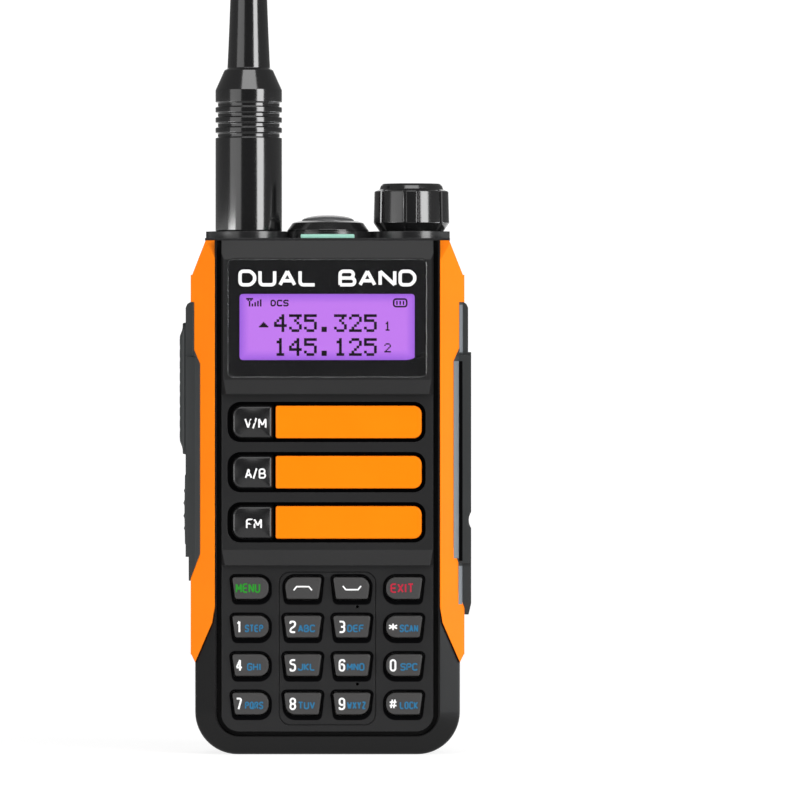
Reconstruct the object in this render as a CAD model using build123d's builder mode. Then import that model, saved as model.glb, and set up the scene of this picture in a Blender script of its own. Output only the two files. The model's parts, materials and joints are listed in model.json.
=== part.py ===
"""A hand-held two way radio, built as an assembly of separate parts.

Units are millimetres. +Z is up along the antenna and +X is to the viewer's right when the
keypad is seen from the front, which faces -Y. The origin is on the flat base that the radio
stands on, in the middle of its width and under the axes of the antenna, torch and knob.
"""

import os

from build123d import *

os.makedirs("parts", exist_ok=True)

# ------------------------------------------------------------------ driving dimensions
BODY_HALF = 30.5          # half width of the black body
BODY_TOP = 118.4          # height of the side walls
BODY_FRONT = -18.4        # foremost plane of the bumper round the front panel
SPLIT_Y = 4.0             # plane where the front and rear housings meet
CORNER_R = 9.8            # lower corners of the body
EDGE_CHAMFER = 4.6        # slope round the front of the body
WALL = 1.9
CORE_HALF = 29.7          # half width of the body under the coloured side panels
CORE_FRONT = -16.9
SIDE_HALF = 31.55         # half width over the coloured side panels
SIDE_FRONT = -18.6
SIDE_CHAMFER = 5.4

PANEL_HALF = 24.4         # front panel
PANEL_BOTTOM = 5.4
PANEL_R = 4.1
PANEL_BACK = -15.5
PANEL_Y = -17.8           # plane of the keypad and of the speaker panel
RIM_Y = -18.4             # plane of the rim round the display
SLOPE_RUN, SLOPE_RISE = 2.3, 4.4   # the front leans back above the display
GROOVE_HALF = 25.5        # dark groove round the panel
GROOVE_BOTTOM = 4.3
GROOVE_R = 5.2

WINDOW_W, WINDOW_H, WINDOW_Z = 45.8, 27.2, 100.45
VIEW_W, VIEW_H, VIEW_Z = 43.6, 18.6, 98.5

KEY_X = (-17.7, -5.65, 5.65, 17.7)
KEY_Z = (38.4, 29.55, 20.7, 11.85)
KEY_TRAVEL = 0.6
KEY_GAP = 0.4

BAR_Z = (76.6, 65.05, 53.5)
BAR_W, BAR_H, BAR_X = 33.6, 7.5, 4.9
FUNCTION_KEY_W, FUNCTION_KEY_X = 9.2, -17.25
POCKET_W, POCKET_H, POCKET_X = 45.6, 9.3, -0.2
POCKET_FLOOR = -16.2

TOP_Z = 120.65            # top of the top cover
TOP_FRONT, TOP_BACK = RIM_Y + SLOPE_RUN, 14.6
PLATE_Z, BOSS_R = 118.95, 9.8      # low front of the top cover, and the bosses on it
TOP_AXIS_Y = -0.5         # antenna, torch and knob stand on this line
ANTENNA_X, KNOB_X = -18.35, 19.35
KNOB_TOP = 131.75
LENS_TOP, LENS_CROWN_R = 124.5, 14.5
ANTENNA_TOP = 300.0

BATTERY_FRONT, BATTERY_BACK, BATTERY_TOP = 5.9, 18.4, 92.0
BATTERY_HALF = 30.2
TRAY_BACK = 8.6           # seam between the battery's two shells
HOOK_X, HOOK_Z = 24.0, (26.0, 66.0)
REAR_BACK = 15.0          # back of the upper rear housing
REAR_HALF = 29.9
CLIP_PIN_Y, CLIP_PIN_Z = 19.2, 107.0
CLIP_PIN_R = 1.0
CLIP_ARM_Y = 21.3         # inner face of the clip's arm at the pin

PTT_Z, PTT_H = 84.3, 30.4
SIDE_KEY_Z, SIDE_KEY_H = 56.4, 16.4
GRIP_Y = -8.2             # middle of the side buttons
JACK_Z = (75.9, 64.1)     # 3.5 mm socket above, 2.5 mm socket below
JACK_R = (1.8, 1.3)
FLAP_TOP, FLAP_BOTTOM = 92.4, 56.2


def save(builder, name):
    """Labels a finished sub-part with its name and writes it."""
    builder.part.label = name
    export_step(builder.part, f"parts/{name}.step")


def upright(half, bottom, top, radius):
    """In an open sketch on the XZ plane: an upright rectangle with rounded lower corners."""
    with Locations((0, (bottom + top) / 2)):
        Rectangle(2 * half, top - bottom)
    fillet(vertices().group_by(Axis.Y)[0], radius)


def envelope(half, front, back, slope):
    """Body-shaped block with rounded lower corners and a sloped front edge all round but the top."""
    with BuildPart() as block:
        with BuildSketch(Plane.XZ.offset(-back)):
            upright(half, 0, BODY_TOP, CORNER_R)
        extrude(amount=back - front)
        rim = block.faces().sort_by(Axis.Y)[0].edges().sort_by(Axis.Z)[:-1]
        chamfer(rim, slope)
    return block.part


def top_slope(depth):
    """Wedge that cuts a side panel back towards the top, depth below the rim's plane."""
    run, rise = SLOPE_RUN, SLOPE_RISE
    with BuildPart() as wedge:
        with BuildSketch(Plane.YZ):
            with BuildLine():
                Polyline(
                    (RIM_Y + depth - 2 * run, BODY_TOP - 3 * rise),
                    (RIM_Y + depth + 2 * run, BODY_TOP + rise),
                    (RIM_Y + depth - 2 * run, BODY_TOP + rise),
                    close=True,
                )
            make_face()
        extrude(amount=40, both=True)
    return wedge.part


def side_region(side):
    """Front-view region of one coloured side panel, as a prism through the whole depth."""
    points = [(25.9, 119.5), (27.6, 119.5), (31.2, 110.5), (33.0, 110.5), (33.0, 23.0),
              (31.4, 23.0), (30.5, 21.2), (26.5, 30.4), (25.9, 34.0)]
    with BuildPart() as prism:
        with BuildSketch(Plane.XZ.offset(-SPLIT_Y)):
            with BuildLine():
                Polyline([(side * x, z) for x, z in points], close=True)
            make_face()
        extrude(amount=40)
    return prism.part


def side_prism(side, points, inner, outer):
    """Prism of a side-view outline, given as (y, z) points, between two distances from the middle."""
    with BuildPart() as prism:
        with BuildSketch(Plane.YZ.offset(side * inner)):
            with BuildLine():
                Polyline(points, close=True)
            make_face()
        extrude(amount=side * (outer - inner))
    return prism.part


def shoulders():
    """The two wedges outside the sloped upper corners, through the whole depth."""
    with BuildPart() as wedges:
        for side in (-1, 1):
            with BuildSketch(Plane.XZ.offset(-20)):
                with BuildLine():
                    Polyline([(side * x, z) for x, z in
                              ((27.6, 119.5), (31.2, 110.5), (34.0, 110.5), (34.0, 119.5))],
                             close=True)
                make_face()
            extrude(amount=40)
    return wedges.part


def edge_facet(side, x, y, run, low, high):
    """Wedge that gives a side pad a 45 degree facet next to the coloured panel.

    The facet starts at (x, y) and runs back by run; beyond it the pad's front is set back.
    """
    with BuildPart() as wedge:
        with BuildSketch(Plane.XY.offset(low)):
            with BuildLine():
                Polyline([(side * px, py) for px, py in
                          ((x, y), (x + run, y + run), (35.0, y + run), (35.0, y - 2),
                           (x, y - 2))], close=True)
            make_face()
        extrude(amount=high - low)
    return wedge.part


def key_outline(column, row, grow=0.0):
    """In an open sketch: one keypad key. Outer columns are D-shaped, inner ones taper downwards."""
    big, small, slant = 2.2, 0.5, 0.7
    half_h = 2.5
    left, right = (-4.2, 4.2) if column in (0, 3) else (-4.35, 4.35)
    low_left = left if column == 3 else left + slant
    low_right = right if column == 0 else right - slant
    radii = [small] * 4                      # top left, top right, low right, low left
    if column == 0:
        radii = [small, big, big, small]
    if column == 3:
        radii = [big, small, small, big]
    if column == 1 and row == 0:
        radii[0] = big
    if column == 1 and row == 3:
        radii[3] = big
    if column == 2 and row == 0:
        radii[1] = big
    if column == 2 and row == 3:
        radii[2] = big
    cx, cz = KEY_X[column], KEY_Z[row]
    corners = [(left - grow, half_h + grow), (right + grow, half_h + grow),
               (low_right + grow, -half_h - grow), (low_left - grow, -half_h - grow)]
    with BuildLine() as outline:
        FilletPolyline([(cx + x, cz + z) for x, z in corners],
                       radius=[r + grow for r in radii], close=True)
    make_face(outline.edges())


def pill(x, z, width, height, left_r, right_r):
    """In an open sketch: a bar with its own corner radius at each end."""
    w, h = width / 2, height / 2
    with BuildLine() as outline:
        FilletPolyline([(x - w, z + h), (x + w, z + h), (x + w, z - h), (x - w, z - h)],
                       radius=[left_r, right_r, right_r, left_r], close=True)
    make_face(outline.edges())


# ------------------------------------------------------------------ shared bodies
black_body = envelope(BODY_HALF, BODY_FRONT, SPLIT_Y, EDGE_CHAMFER)
core_body = envelope(CORE_HALF, CORE_FRONT, SPLIT_Y, EDGE_CHAMFER)
side_body = envelope(SIDE_HALF, SIDE_FRONT, SPLIT_Y, SIDE_CHAMFER)

# side-view outlines of the two side pads, as (y, z), and of the pockets they sit in
PTT_PAD = [(-14.0, 104.2), (-14.0, 93.2), (-15.4, 90.0), (-15.4, 46.2), (-13.0, 40.0),
           (-1.5, 40.0), (-1.5, 104.2)]
JACK_PAD = [(-14.4, 104.2), (-14.4, 93.6), (-15.7, 90.6), (-15.7, 47.6), (-14.6, 44.2),
            (-14.6, 37.6), (-12.6, 32.2), (-1.5, 32.2), (-1.5, 104.2)]

side_shells = {side: side_region(side) - core_body for side in (-1, 1)}
ptt_block = side_prism(-1, PTT_PAD, CORE_HALF - 5, SIDE_HALF + 3)
jack_block_space = side_prism(1, JACK_PAD, CORE_HALF - 5, SIDE_HALF + 3)
slope_wedge = top_slope(-0.2)
shoulder_cut = shoulders()

# ------------------------------------------------------------------ front housing
with BuildPart() as front_housing:
    add(black_body)
    for shell in side_shells.values():
        add(shell, mode=Mode.SUBTRACT)
    front_loop = front_housing.edges().filter_by_position(Axis.Y, -19, -13).filter_by_position(
        Axis.Z, -1, 20.5)
    fillet(front_loop.group_by(Axis.Y)[-1], 1.6)
    # pocket for the front panel and the groove round it
    with BuildSketch(Plane.XZ.offset(-PANEL_BACK)):
        upright(GROOVE_HALF, GROOVE_BOTTOM, BODY_TOP + 1, GROOVE_R)
    extrude(amount=10, mode=Mode.SUBTRACT)
    # inside of the shell
    with BuildSketch(Plane.XZ.offset(-SPLIT_Y)):
        upright(CORE_HALF - WALL, 2.4, BODY_TOP - 1.4, 7.0)
    extrude(amount=SPLIT_Y + 13.8, mode=Mode.SUBTRACT)
    # window behind the panel
    with BuildSketch(Plane.XZ.offset(10)):
        upright(23.3, 8.0, 114.2, 1.0)
    extrude(amount=10, mode=Mode.SUBTRACT)
    # holes for the stems of the side buttons
    with BuildSketch(Plane.YZ.offset(-CORE_HALF - 1)):
        with Locations((GRIP_Y, PTT_Z), (GRIP_Y, SIDE_KEY_Z)):
            Circle(1.8)
    extrude(amount=WALL + 2, mode=Mode.SUBTRACT)
    # opening for the accessory sockets
    with BuildSketch(Plane.YZ.offset(CORE_HALF + 1)):
        with Locations((GRIP_Y, 70.0)):
            RectangleRounded(8.4, 20.4, 0.6)
    extrude(amount=-WALL - 2, mode=Mode.SUBTRACT)
    # openings in the top wall for the antenna socket, the torch and the volume control
    with BuildSketch(Plane.XY.offset(BODY_TOP - 2)):
        with Locations((ANTENNA_X, TOP_AXIS_Y)):
            Circle(3.4)
        with Locations((KNOB_X, TOP_AXIS_Y)):
            Circle(3.8)
        with Locations((0, TOP_AXIS_Y)):
            Circle(4.3)
    extrude(amount=4, mode=Mode.SUBTRACT)
    add(shoulder_cut, mode=Mode.SUBTRACT)
save(front_housing, "front_housing")

# ------------------------------------------------------------------ coloured side panels
# each is a shell over one side of the body, with a pocket for its side pad
for side, pocket, name in ((-1, ptt_block, "side_panel_left"),
                           (1, jack_block_space, "side_panel_right")):
    with BuildPart() as side_panel:
        add(side_body)
        add(side_shells[side], mode=Mode.INTERSECT)
        add(slope_wedge, mode=Mode.SUBTRACT)
        add(pocket, mode=Mode.SUBTRACT)
    save(side_panel, name)

# ------------------------------------------------------------------ front panel
LIP_B_Z, LIP_B_Y = 83.0, -19.3      # lip under the display
LIP_C_Z, LIP_C_Y = 43.6, -18.9      # lip under the speaker bars
with BuildPart() as front_panel:
    with BuildSketch(Plane.YZ):
        with BuildLine():
            Polyline(
                (PANEL_BACK, PANEL_BOTTOM), (PANEL_Y, PANEL_BOTTOM), (PANEL_Y, LIP_C_Z),
                (LIP_C_Y, LIP_C_Z), (PANEL_Y, 47.2), (PANEL_Y, LIP_B_Z), (LIP_B_Y, LIP_B_Z),
                (RIM_Y, 86.3), (RIM_Y, BODY_TOP - SLOPE_RISE), (RIM_Y + SLOPE_RUN, BODY_TOP),
                (PANEL_BACK, BODY_TOP),
                close=True,
            )
        make_face()
    extrude(amount=PANEL_HALF, both=True)
    # sloped sides
    with BuildSketch(Plane.XY):
        with BuildLine():
            Polyline(
                (-PANEL_HALF, PANEL_BACK), (-PANEL_HALF, -17.6), (-23.2, -19.4), (23.2, -19.4),
                (PANEL_HALF, -17.6), (PANEL_HALF, PANEL_BACK), close=True,
            )
        make_face()
    extrude(amount=BODY_TOP, mode=Mode.INTERSECT)
    # rounded lower corners
    with BuildSketch(Plane.XZ.offset(10)):
        upright(PANEL_HALF, PANEL_BOTTOM, BODY_TOP, PANEL_R)
    extrude(amount=12, mode=Mode.INTERSECT)
    # seat of the display window, then the view opening behind it
    with BuildSketch(Plane.XZ.offset(16.95)):
        with Locations((0, WINDOW_Z)):
            RectangleRounded(WINDOW_W + 0.2, WINDOW_H + 0.2, 1.4)
    extrude(amount=5, mode=Mode.SUBTRACT)
    with BuildSketch(Plane.XZ.offset(10)):
        with Locations((0, VIEW_Z)):
            RectangleRounded(VIEW_W, VIEW_H, 0.5)
    extrude(amount=10, mode=Mode.SUBTRACT)
    # pockets of the three bars, with sound slots along each bar
    for z in BAR_Z:
        with BuildSketch(Plane.XZ.offset(-POCKET_FLOOR)):
            pill(POCKET_X, z, POCKET_W, POCKET_H, 3.0, 2.7)
        extrude(amount=5, mode=Mode.SUBTRACT)
        with BuildSketch(Plane.XZ.offset(10)):
            pill(FUNCTION_KEY_X, z, FUNCTION_KEY_W + 0.6, BAR_H + 0.6, 2.5, 0.6)
            with Locations((BAR_X, z + 4.2), (BAR_X, z - 4.2)):
                SlotOverall(29.0, 0.7)
            with Locations((BAR_X - 12, z), (BAR_X + 12, z)):
                Circle(0.85)
        extrude(amount=10, mode=Mode.SUBTRACT)
    # key openings
    with BuildSketch(Plane.XZ.offset(10)):
        for row in range(4):
            for column in range(4):
                key_outline(column, row, KEY_GAP)
    extrude(amount=10, mode=Mode.SUBTRACT)
    # fine outline round the two middle columns, and the two microphone holes
    with BuildSketch(Plane.XZ.offset(-PANEL_Y - 0.3)):
        with Locations((0, 24.5)):
            RectangleRounded(22.4, 35.4, 2.6)
            RectangleRounded(21.8, 34.8, 2.3, mode=Mode.SUBTRACT)
    extrude(amount=0.3, mode=Mode.SUBTRACT)
    with BuildSketch(Plane.XZ.offset(10)):
        with Locations((6.9, 34.1), (6.9, 16.3)):
            Circle(0.35)
    extrude(amount=10, mode=Mode.SUBTRACT)
save(front_panel, "front_panel")

# ------------------------------------------------------------------ display
with BuildPart() as display_window:
    with BuildSketch(Plane.XZ.offset(17.0)):
        with Locations((0, WINDOW_Z)):
            RectangleRounded(WINDOW_W, WINDOW_H, 1.3)
    extrude(amount=1.5)
    chamfer(display_window.faces().sort_by(Axis.Y)[0].edges(), 0.3)
save(display_window, "display_window")

with BuildPart() as lcd_panel:
    with BuildSketch(Plane.XZ.offset(14.8)):
        with Locations((0, VIEW_Z)):
            RectangleRounded(VIEW_W - 0.4, VIEW_H - 0.2, 0.3)
    extrude(amount=2.0)
save(lcd_panel, "lcd_panel")

with BuildPart() as lcd_backlight:
    with BuildSketch(Plane.XZ.offset(14.8)):
        with Locations((0, VIEW_Z)):
            RectangleRounded(VIEW_W - 0.4, VIEW_H - 0.2, 0.3)
    extrude(amount=-1.9)
save(lcd_backlight, "lcd_backlight")

# ------------------------------------------------------------------ bars and function keys
with BuildPart() as speaker_bars:
    for z in BAR_Z:
        with BuildSketch(Plane.XZ.offset(-POCKET_FLOOR)):
            pill(BAR_X, z, BAR_W, BAR_H, 0.4, 1.9)
        extrude(amount=1.9)
        with BuildSketch(Plane.XZ.offset(-POCKET_FLOOR)):
            with Locations((BAR_X - 12, z), (BAR_X + 12, z)):
                Circle(0.8)
        extrude(amount=-0.7)
    chamfer(speaker_bars.faces().group_by(Axis.Y)[0].edges(), 0.35)
save(speaker_bars, "speaker_bars")

for name, z in zip(("vm_key", "ab_key", "fm_key"), BAR_Z):
    with BuildPart() as function_key:
        with BuildSketch(Plane.XZ.offset(14.6)):
            pill(FUNCTION_KEY_X, z, FUNCTION_KEY_W + 1.4, BAR_H + 1.4, 2.4, 0.6)
        extrude(amount=0.7)
        with BuildSketch(Plane.XZ.offset(14.6)):
            pill(FUNCTION_KEY_X, z, FUNCTION_KEY_W, BAR_H, 2.2, 0.5)
        extrude(amount=3.4)
        with BuildSketch(Plane.XZ.offset(14.6)):
            with Locations((FUNCTION_KEY_X, z)):
                Circle(1.5)
        extrude(amount=-1.3)
        chamfer(function_key.faces().sort_by(Axis.Y)[0].edges(), 0.35)
    save(function_key, name)

# ------------------------------------------------------------------ keypad
KEY_NAMES = (
    ("key_menu", "key_up", "key_down", "key_exit"),
    ("key_1", "key_2", "key_3", "key_star"),
    ("key_4", "key_5", "key_6", "key_0"),
    ("key_7", "key_8", "key_9", "key_hash"),
)
for row, names in enumerate(KEY_NAMES):
    for column, name in enumerate(names):
        with BuildPart() as key:
            with BuildSketch(Plane.XZ.offset(14.4)):
                key_outline(column, row, 0.85)
            extrude(amount=0.8)
            with BuildSketch(Plane.XZ.offset(14.4)):
                key_outline(column, row)
            extrude(amount=4.8)
            with BuildSketch(Plane.XZ.offset(14.4)):
                with Locations((KEY_X[column], KEY_Z[row])):
                    Circle(1.6)
            extrude(amount=-1.1)
            chamfer(key.faces().sort_by(Axis.Y)[0].edges(), 0.4)
        save(key, name)

with BuildPart() as keypad_mat:
    with BuildSketch(Plane.XZ.offset(12.6)):
        with Locations((0, 25.0)):
            RectangleRounded(44.8, 34.8, 1.0)
        with Locations([(x, z) for x in KEY_X for z in KEY_Z]):
            Circle(2.0, mode=Mode.SUBTRACT)
    extrude(amount=0.8)
save(keypad_mat, "keypad_mat")

# ------------------------------------------------------------------ left side: pad, talk button, side key
PAD_FLOOR = 30.7          # outer face of the pad behind the buttons
PAD_TOP = 32.7
ptt_pad = side_prism(-1, PTT_PAD, CORE_HALF - 3.5, PAD_TOP)
with BuildPart() as ptt_surround:
    add(ptt_pad)
    add(edge_facet(-1, 29.35, -15.4, 1.1, 40.0, 91.6), mode=Mode.SUBTRACT)
    add(edge_facet(-1, 30.75, -14.0, 0.35, 91.6, 105.0), mode=Mode.SUBTRACT)
    # rounded top corner
    with BuildSketch(Plane.XZ.offset(-5)):
        with BuildLine():
            Polyline((-PAD_TOP, 102.9), (-PAD_TOP + 0.4, 103.8), (-PAD_TOP + 1.2, 104.3),
                     (-PAD_TOP - 1, 104.3), (-PAD_TOP - 1, 102.9), close=True)
        make_face()
    extrude(amount=25, mode=Mode.SUBTRACT)
    add(core_body, mode=Mode.SUBTRACT)
    with BuildSketch(Plane.YZ.offset(-PAD_TOP - 1)):
        with Locations((GRIP_Y, PTT_Z)):
            RectangleRounded(10.2, PTT_H + 0.7, 2.2)
        with Locations((GRIP_Y, SIDE_KEY_Z)):
            RectangleRounded(9.2, SIDE_KEY_H + 0.7, 2.2)
    extrude(amount=PAD_TOP + 1 - PAD_FLOOR, mode=Mode.SUBTRACT)
    with BuildSketch(Plane.YZ.offset(-PAD_TOP)):
        with Locations((GRIP_Y, PTT_Z), (GRIP_Y, SIDE_KEY_Z)):
            Circle(1.8)
    extrude(amount=5, mode=Mode.SUBTRACT)
    # the lower tail steps in
    with BuildSketch(Plane.YZ.offset(-PAD_TOP + 0.7)):
        with Locations((-8.5, 42.2)):
            Rectangle(16, 6.6)
    extrude(amount=-3, mode=Mode.SUBTRACT)
save(ptt_surround, "ptt_surround")

with BuildPart() as ptt_button:
    # crowned outer face: an arc in the front view, low at both ends
    with BuildSketch(Plane.XZ.offset(-GRIP_Y - 4.8)):
        with BuildLine():
            FilletPolyline(
                (-32.0, PTT_Z - PTT_H / 2), (-32.7, PTT_Z - PTT_H / 2), (-34.0, PTT_Z - 11.8),
                (-34.2, PTT_Z - 9.0), (-34.2, PTT_Z + 9.0), (-34.0, PTT_Z + 11.8),
                (-32.7, PTT_Z + PTT_H / 2), (-32.0, PTT_Z + PTT_H / 2), radius=0.4, close=True)
        make_face()
    extrude(amount=9.6)
    with BuildSketch(Plane.YZ.offset(-40)):
        with Locations((GRIP_Y, PTT_Z)):
            RectangleRounded(9.6, PTT_H, 2.0)
    extrude(amount=12, mode=Mode.INTERSECT)
    with BuildSketch(Plane.YZ.offset(-32.0)):
        with Locations((GRIP_Y, PTT_Z)):
            Circle(1.2)
    extrude(amount=4.6)
save(ptt_button, "ptt_button")

with BuildPart() as side_key:
    with BuildSketch(Plane.YZ.offset(-31.9)):
        with Locations((GRIP_Y, SIDE_KEY_Z)):
            RectangleRounded(8.6, SIDE_KEY_H, 1.9)
    extrude(amount=-1.3)
    chamfer(side_key.faces().sort_by(Axis.X)[0].edges(), 0.4)
    with BuildSketch(Plane.YZ.offset(-31.9)):
        with Locations((GRIP_Y, SIDE_KEY_Z)):
            Circle(1.2)
    extrude(amount=4.5)
save(side_key, "side_key")

# ------------------------------------------------------------------ right side: pad, flap, sockets
JACK_FLOOR = 31.0
JACK_TOP = 33.1
jack_pad = side_prism(1, JACK_PAD, CORE_HALF - 3.5, JACK_TOP)
with BuildPart() as jack_trim:
    add(jack_pad)
    add(edge_facet(1, 29.05, -15.7, 1.2, 44.0, 92.0), mode=Mode.SUBTRACT)
    add(edge_facet(1, 30.35, -14.4, 0.8, 92.0, 105.0), mode=Mode.SUBTRACT)
    add(edge_facet(1, 30.15, -14.6, 0.9, 32.0, 44.0), mode=Mode.SUBTRACT)
    # the lower and upper ends are drawn in
    with BuildSketch(Plane.XZ.offset(-5)):
        with BuildLine():
            Polyline((JACK_TOP, 34.8), (JACK_TOP - 0.6, 32.1), (JACK_TOP + 1, 32.1),
                     (JACK_TOP + 1, 34.8), close=True)
        make_face()
        with BuildLine():
            Polyline((32.4, 102.9), (32.0, 103.8), (31.2, 104.3), (JACK_TOP + 1, 104.3),
                     (JACK_TOP + 1, 102.9), close=True)
        make_face()
    extrude(amount=25, mode=Mode.SUBTRACT)
    add(core_body, mode=Mode.SUBTRACT)
    # bed of the flap, with a finger notch under it
    with BuildSketch(Plane.YZ.offset(JACK_FLOOR)):
        with Locations((GRIP_Y, (FLAP_TOP + FLAP_BOTTOM) / 2)):
            Rectangle(10.6, FLAP_TOP - FLAP_BOTTOM + 0.7)
    extrude(amount=5, mode=Mode.SUBTRACT)
    with BuildSketch(Plane.XZ.offset(-GRIP_Y - 20)):
        with Locations((35.95, 54.0)):
            Circle(3.4)
    extrude(amount=40, mode=Mode.SUBTRACT)
    # the upper end is lower than the rest
    with BuildSketch(Plane.YZ.offset(32.4)):
        with Locations((-8.5, 99.0)):
            Rectangle(16, 12.6)
    extrude(amount=3, mode=Mode.SUBTRACT)
    # opening for the sockets
    with BuildSketch(Plane.YZ.offset(CORE_HALF - 3)):
        with Locations((GRIP_Y, 70.0)):
            RectangleRounded(8.4, 20.4, 0.6)
    extrude(amount=8, mode=Mode.SUBTRACT)
    # seat of the screw that holds the pad
    with Locations(Plane.YZ.offset(32.4) * Pos(GRIP_Y, 98.6)):
        CounterBoreHole(0.9, 1.8, 1.0, depth=4)
save(jack_trim, "jack_trim")

with BuildPart() as jack_flap:
    with BuildSketch(Plane.XZ.offset(-GRIP_Y - 5.0)):
        with BuildLine():
            Polyline(
                (31.4, FLAP_TOP), (32.6, FLAP_TOP), (JACK_TOP, FLAP_TOP - 1.6),
                (JACK_TOP, FLAP_BOTTOM + 1.0), (32.4, FLAP_BOTTOM), (31.4, FLAP_BOTTOM),
                close=True)
        make_face()
    extrude(amount=10.0)
    chamfer(jack_flap.edges().filter_by(Axis.Z).group_by(Axis.X)[-1], 0.6)
    for z, radius in zip(JACK_Z, JACK_R):
        with BuildSketch(Plane.YZ.offset(31.4)):
            with Locations((GRIP_Y, z)):
                Circle(radius - 0.4)
        extrude(amount=-0.7)
save(jack_flap, "jack_flap")

with BuildPart() as jack_block:
    with BuildSketch(Plane.YZ.offset(20.8)):
        with Locations((GRIP_Y, 70.0)):
            RectangleRounded(8.0, 20.0, 0.5)
    extrude(amount=10.0)
    for z, radius in zip(JACK_Z, JACK_R):
        with BuildSketch(Plane.YZ.offset(30.8)):
            with Locations((GRIP_Y, z)):
                Circle(radius)
        extrude(amount=-9.0, mode=Mode.SUBTRACT)
save(jack_block, "jack_block")

with BuildPart() as jack_screw:
    with BuildSketch(Plane.YZ.offset(31.4)):
        with Locations((GRIP_Y, 98.6)):
            Circle(1.7)
    extrude(amount=0.8)
    with BuildSketch(Plane.YZ.offset(31.4)):
        with Locations((GRIP_Y, 98.6)):
            Circle(0.85)
    extrude(amount=-1.6)
    with BuildSketch(Plane.YZ.offset(32.2)):
        with Locations((GRIP_Y, 98.6)):
            Rectangle(2.2, 0.5)
            Rectangle(0.5, 2.2)
    extrude(amount=-0.5, mode=Mode.SUBTRACT)
save(jack_screw, "jack_screw")

# ------------------------------------------------------------------ top cover, torch, light
with BuildPart() as top_cover:
    # a low plate in front, a raised rear part, and a round boss under each of the controls
    with BuildSketch(Plane.XY.offset(BODY_TOP)) as cover_outline:
        with Locations((0, (TOP_FRONT + TOP_BACK) / 2)):
            Rectangle(56.4, TOP_BACK - TOP_FRONT)
        fillet(vertices().group_by(Axis.Y)[-1], 5.0)
    extrude(amount=PLATE_Z - BODY_TOP)
    with BuildSketch(Plane.XY.offset(BODY_TOP)):
        with Locations((ANTENNA_X, TOP_AXIS_Y), (0, TOP_AXIS_Y), (KNOB_X, TOP_AXIS_Y)):
            Circle(BOSS_R)
        with Locations((0, (TOP_BACK - 3.0) / 2)):
            Rectangle(56.4, TOP_BACK + 3.0)
    extrude(amount=TOP_Z - BODY_TOP)
    extrude(cover_outline.sketch, amount=5, mode=Mode.INTERSECT)
    with BuildSketch(Plane.XY.offset(TOP_Z + 1)):
        with Locations((ANTENNA_X, TOP_AXIS_Y)):
            Circle(3.3)
        with Locations((KNOB_X, TOP_AXIS_Y)):
            Circle(3.6)
        with Locations((0, TOP_AXIS_Y)):
            Circle(4.2)
    extrude(amount=-4, mode=Mode.SUBTRACT)
    # slot of the status light in the low front
    with BuildSketch(Plane.XY.offset(TOP_Z + 1)):
        with Locations((0, -14.85)):
            RectangleRounded(12.6, 1.5, 0.4)
    extrude(amount=-4, mode=Mode.SUBTRACT)
save(top_cover, "top_cover")

with BuildPart() as status_light:
    with BuildSketch(Plane.YZ):
        with BuildLine():
            Polyline((-15.5, BODY_TOP), (-15.5, 119.7), (-15.3, 119.85), (-14.2, 119.85),
                     (-14.2, BODY_TOP), close=True)
        make_face()
    extrude(amount=6.2, both=True)
save(status_light, "status_light")

with BuildPart() as torch_bezel:
    with BuildSketch(Plane.XZ):
        with BuildLine():
            Polyline((6.3, TOP_Z), (9.45, TOP_Z), (9.45, 121.0), (8.35, 122.6), (6.9, 123.1),
                     (6.3, 123.1), close=True)
        make_face()
    revolve(axis=Axis.Z)
    with BuildSketch(Plane.XY.offset(TOP_Z)):
        Circle(4.0)
        Circle(3.2, mode=Mode.SUBTRACT)
    extrude(amount=-3.0)
    with BuildSketch(Plane.XY.offset(TOP_Z)):
        Circle(6.4)
        Circle(3.2, mode=Mode.SUBTRACT)
    extrude(amount=0.6)
torch_bezel.part.position = (0, TOP_AXIS_Y, 0)
save(torch_bezel, "torch_bezel")

with BuildPart() as torch_lens:
    with Locations((0, TOP_AXIS_Y, LENS_TOP - 1.35)):
        Cylinder(6.1, 2.7)
    with Locations((0, TOP_AXIS_Y, LENS_TOP - LENS_CROWN_R)):
        Sphere(LENS_CROWN_R, mode=Mode.INTERSECT)
save(torch_lens, "torch_lens")

with BuildPart() as torch_led:
    with Locations((0, TOP_AXIS_Y, 119.0)):
        Cylinder(1.5, 2.0)
    with Locations((0, TOP_AXIS_Y, 117.1)):
        Cylinder(2.8, 1.8)
save(torch_led, "torch_led")

# ------------------------------------------------------------------ volume control
with BuildPart() as volume_pot:
    with Locations((KNOB_X, TOP_AXIS_Y, 111.6)):
        Box(11.0, 11.0, 8.0)
    with Locations((KNOB_X, TOP_AXIS_Y, 118.3)):
        Cylinder(3.3, 5.4)
    with BuildSketch(Plane.XY.offset(122)):
        with Locations((KNOB_X, TOP_AXIS_Y)):
            Circle(2.55)
    extrude(amount=-10, mode=Mode.SUBTRACT)
save(volume_pot, "volume_pot")

with BuildPart() as volume_shaft:
    with BuildSketch(Plane.XY.offset(112.4)):
        with Locations((KNOB_X, TOP_AXIS_Y)):
            Circle(2.5)
    extrude(amount=16.0)
    with BuildSketch(Plane.XY.offset(122.0)):
        with Locations((KNOB_X, TOP_AXIS_Y + 2.4)):
            Rectangle(6, 1.4)
    extrude(amount=7, mode=Mode.SUBTRACT)
save(volume_shaft, "volume_shaft")

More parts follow.
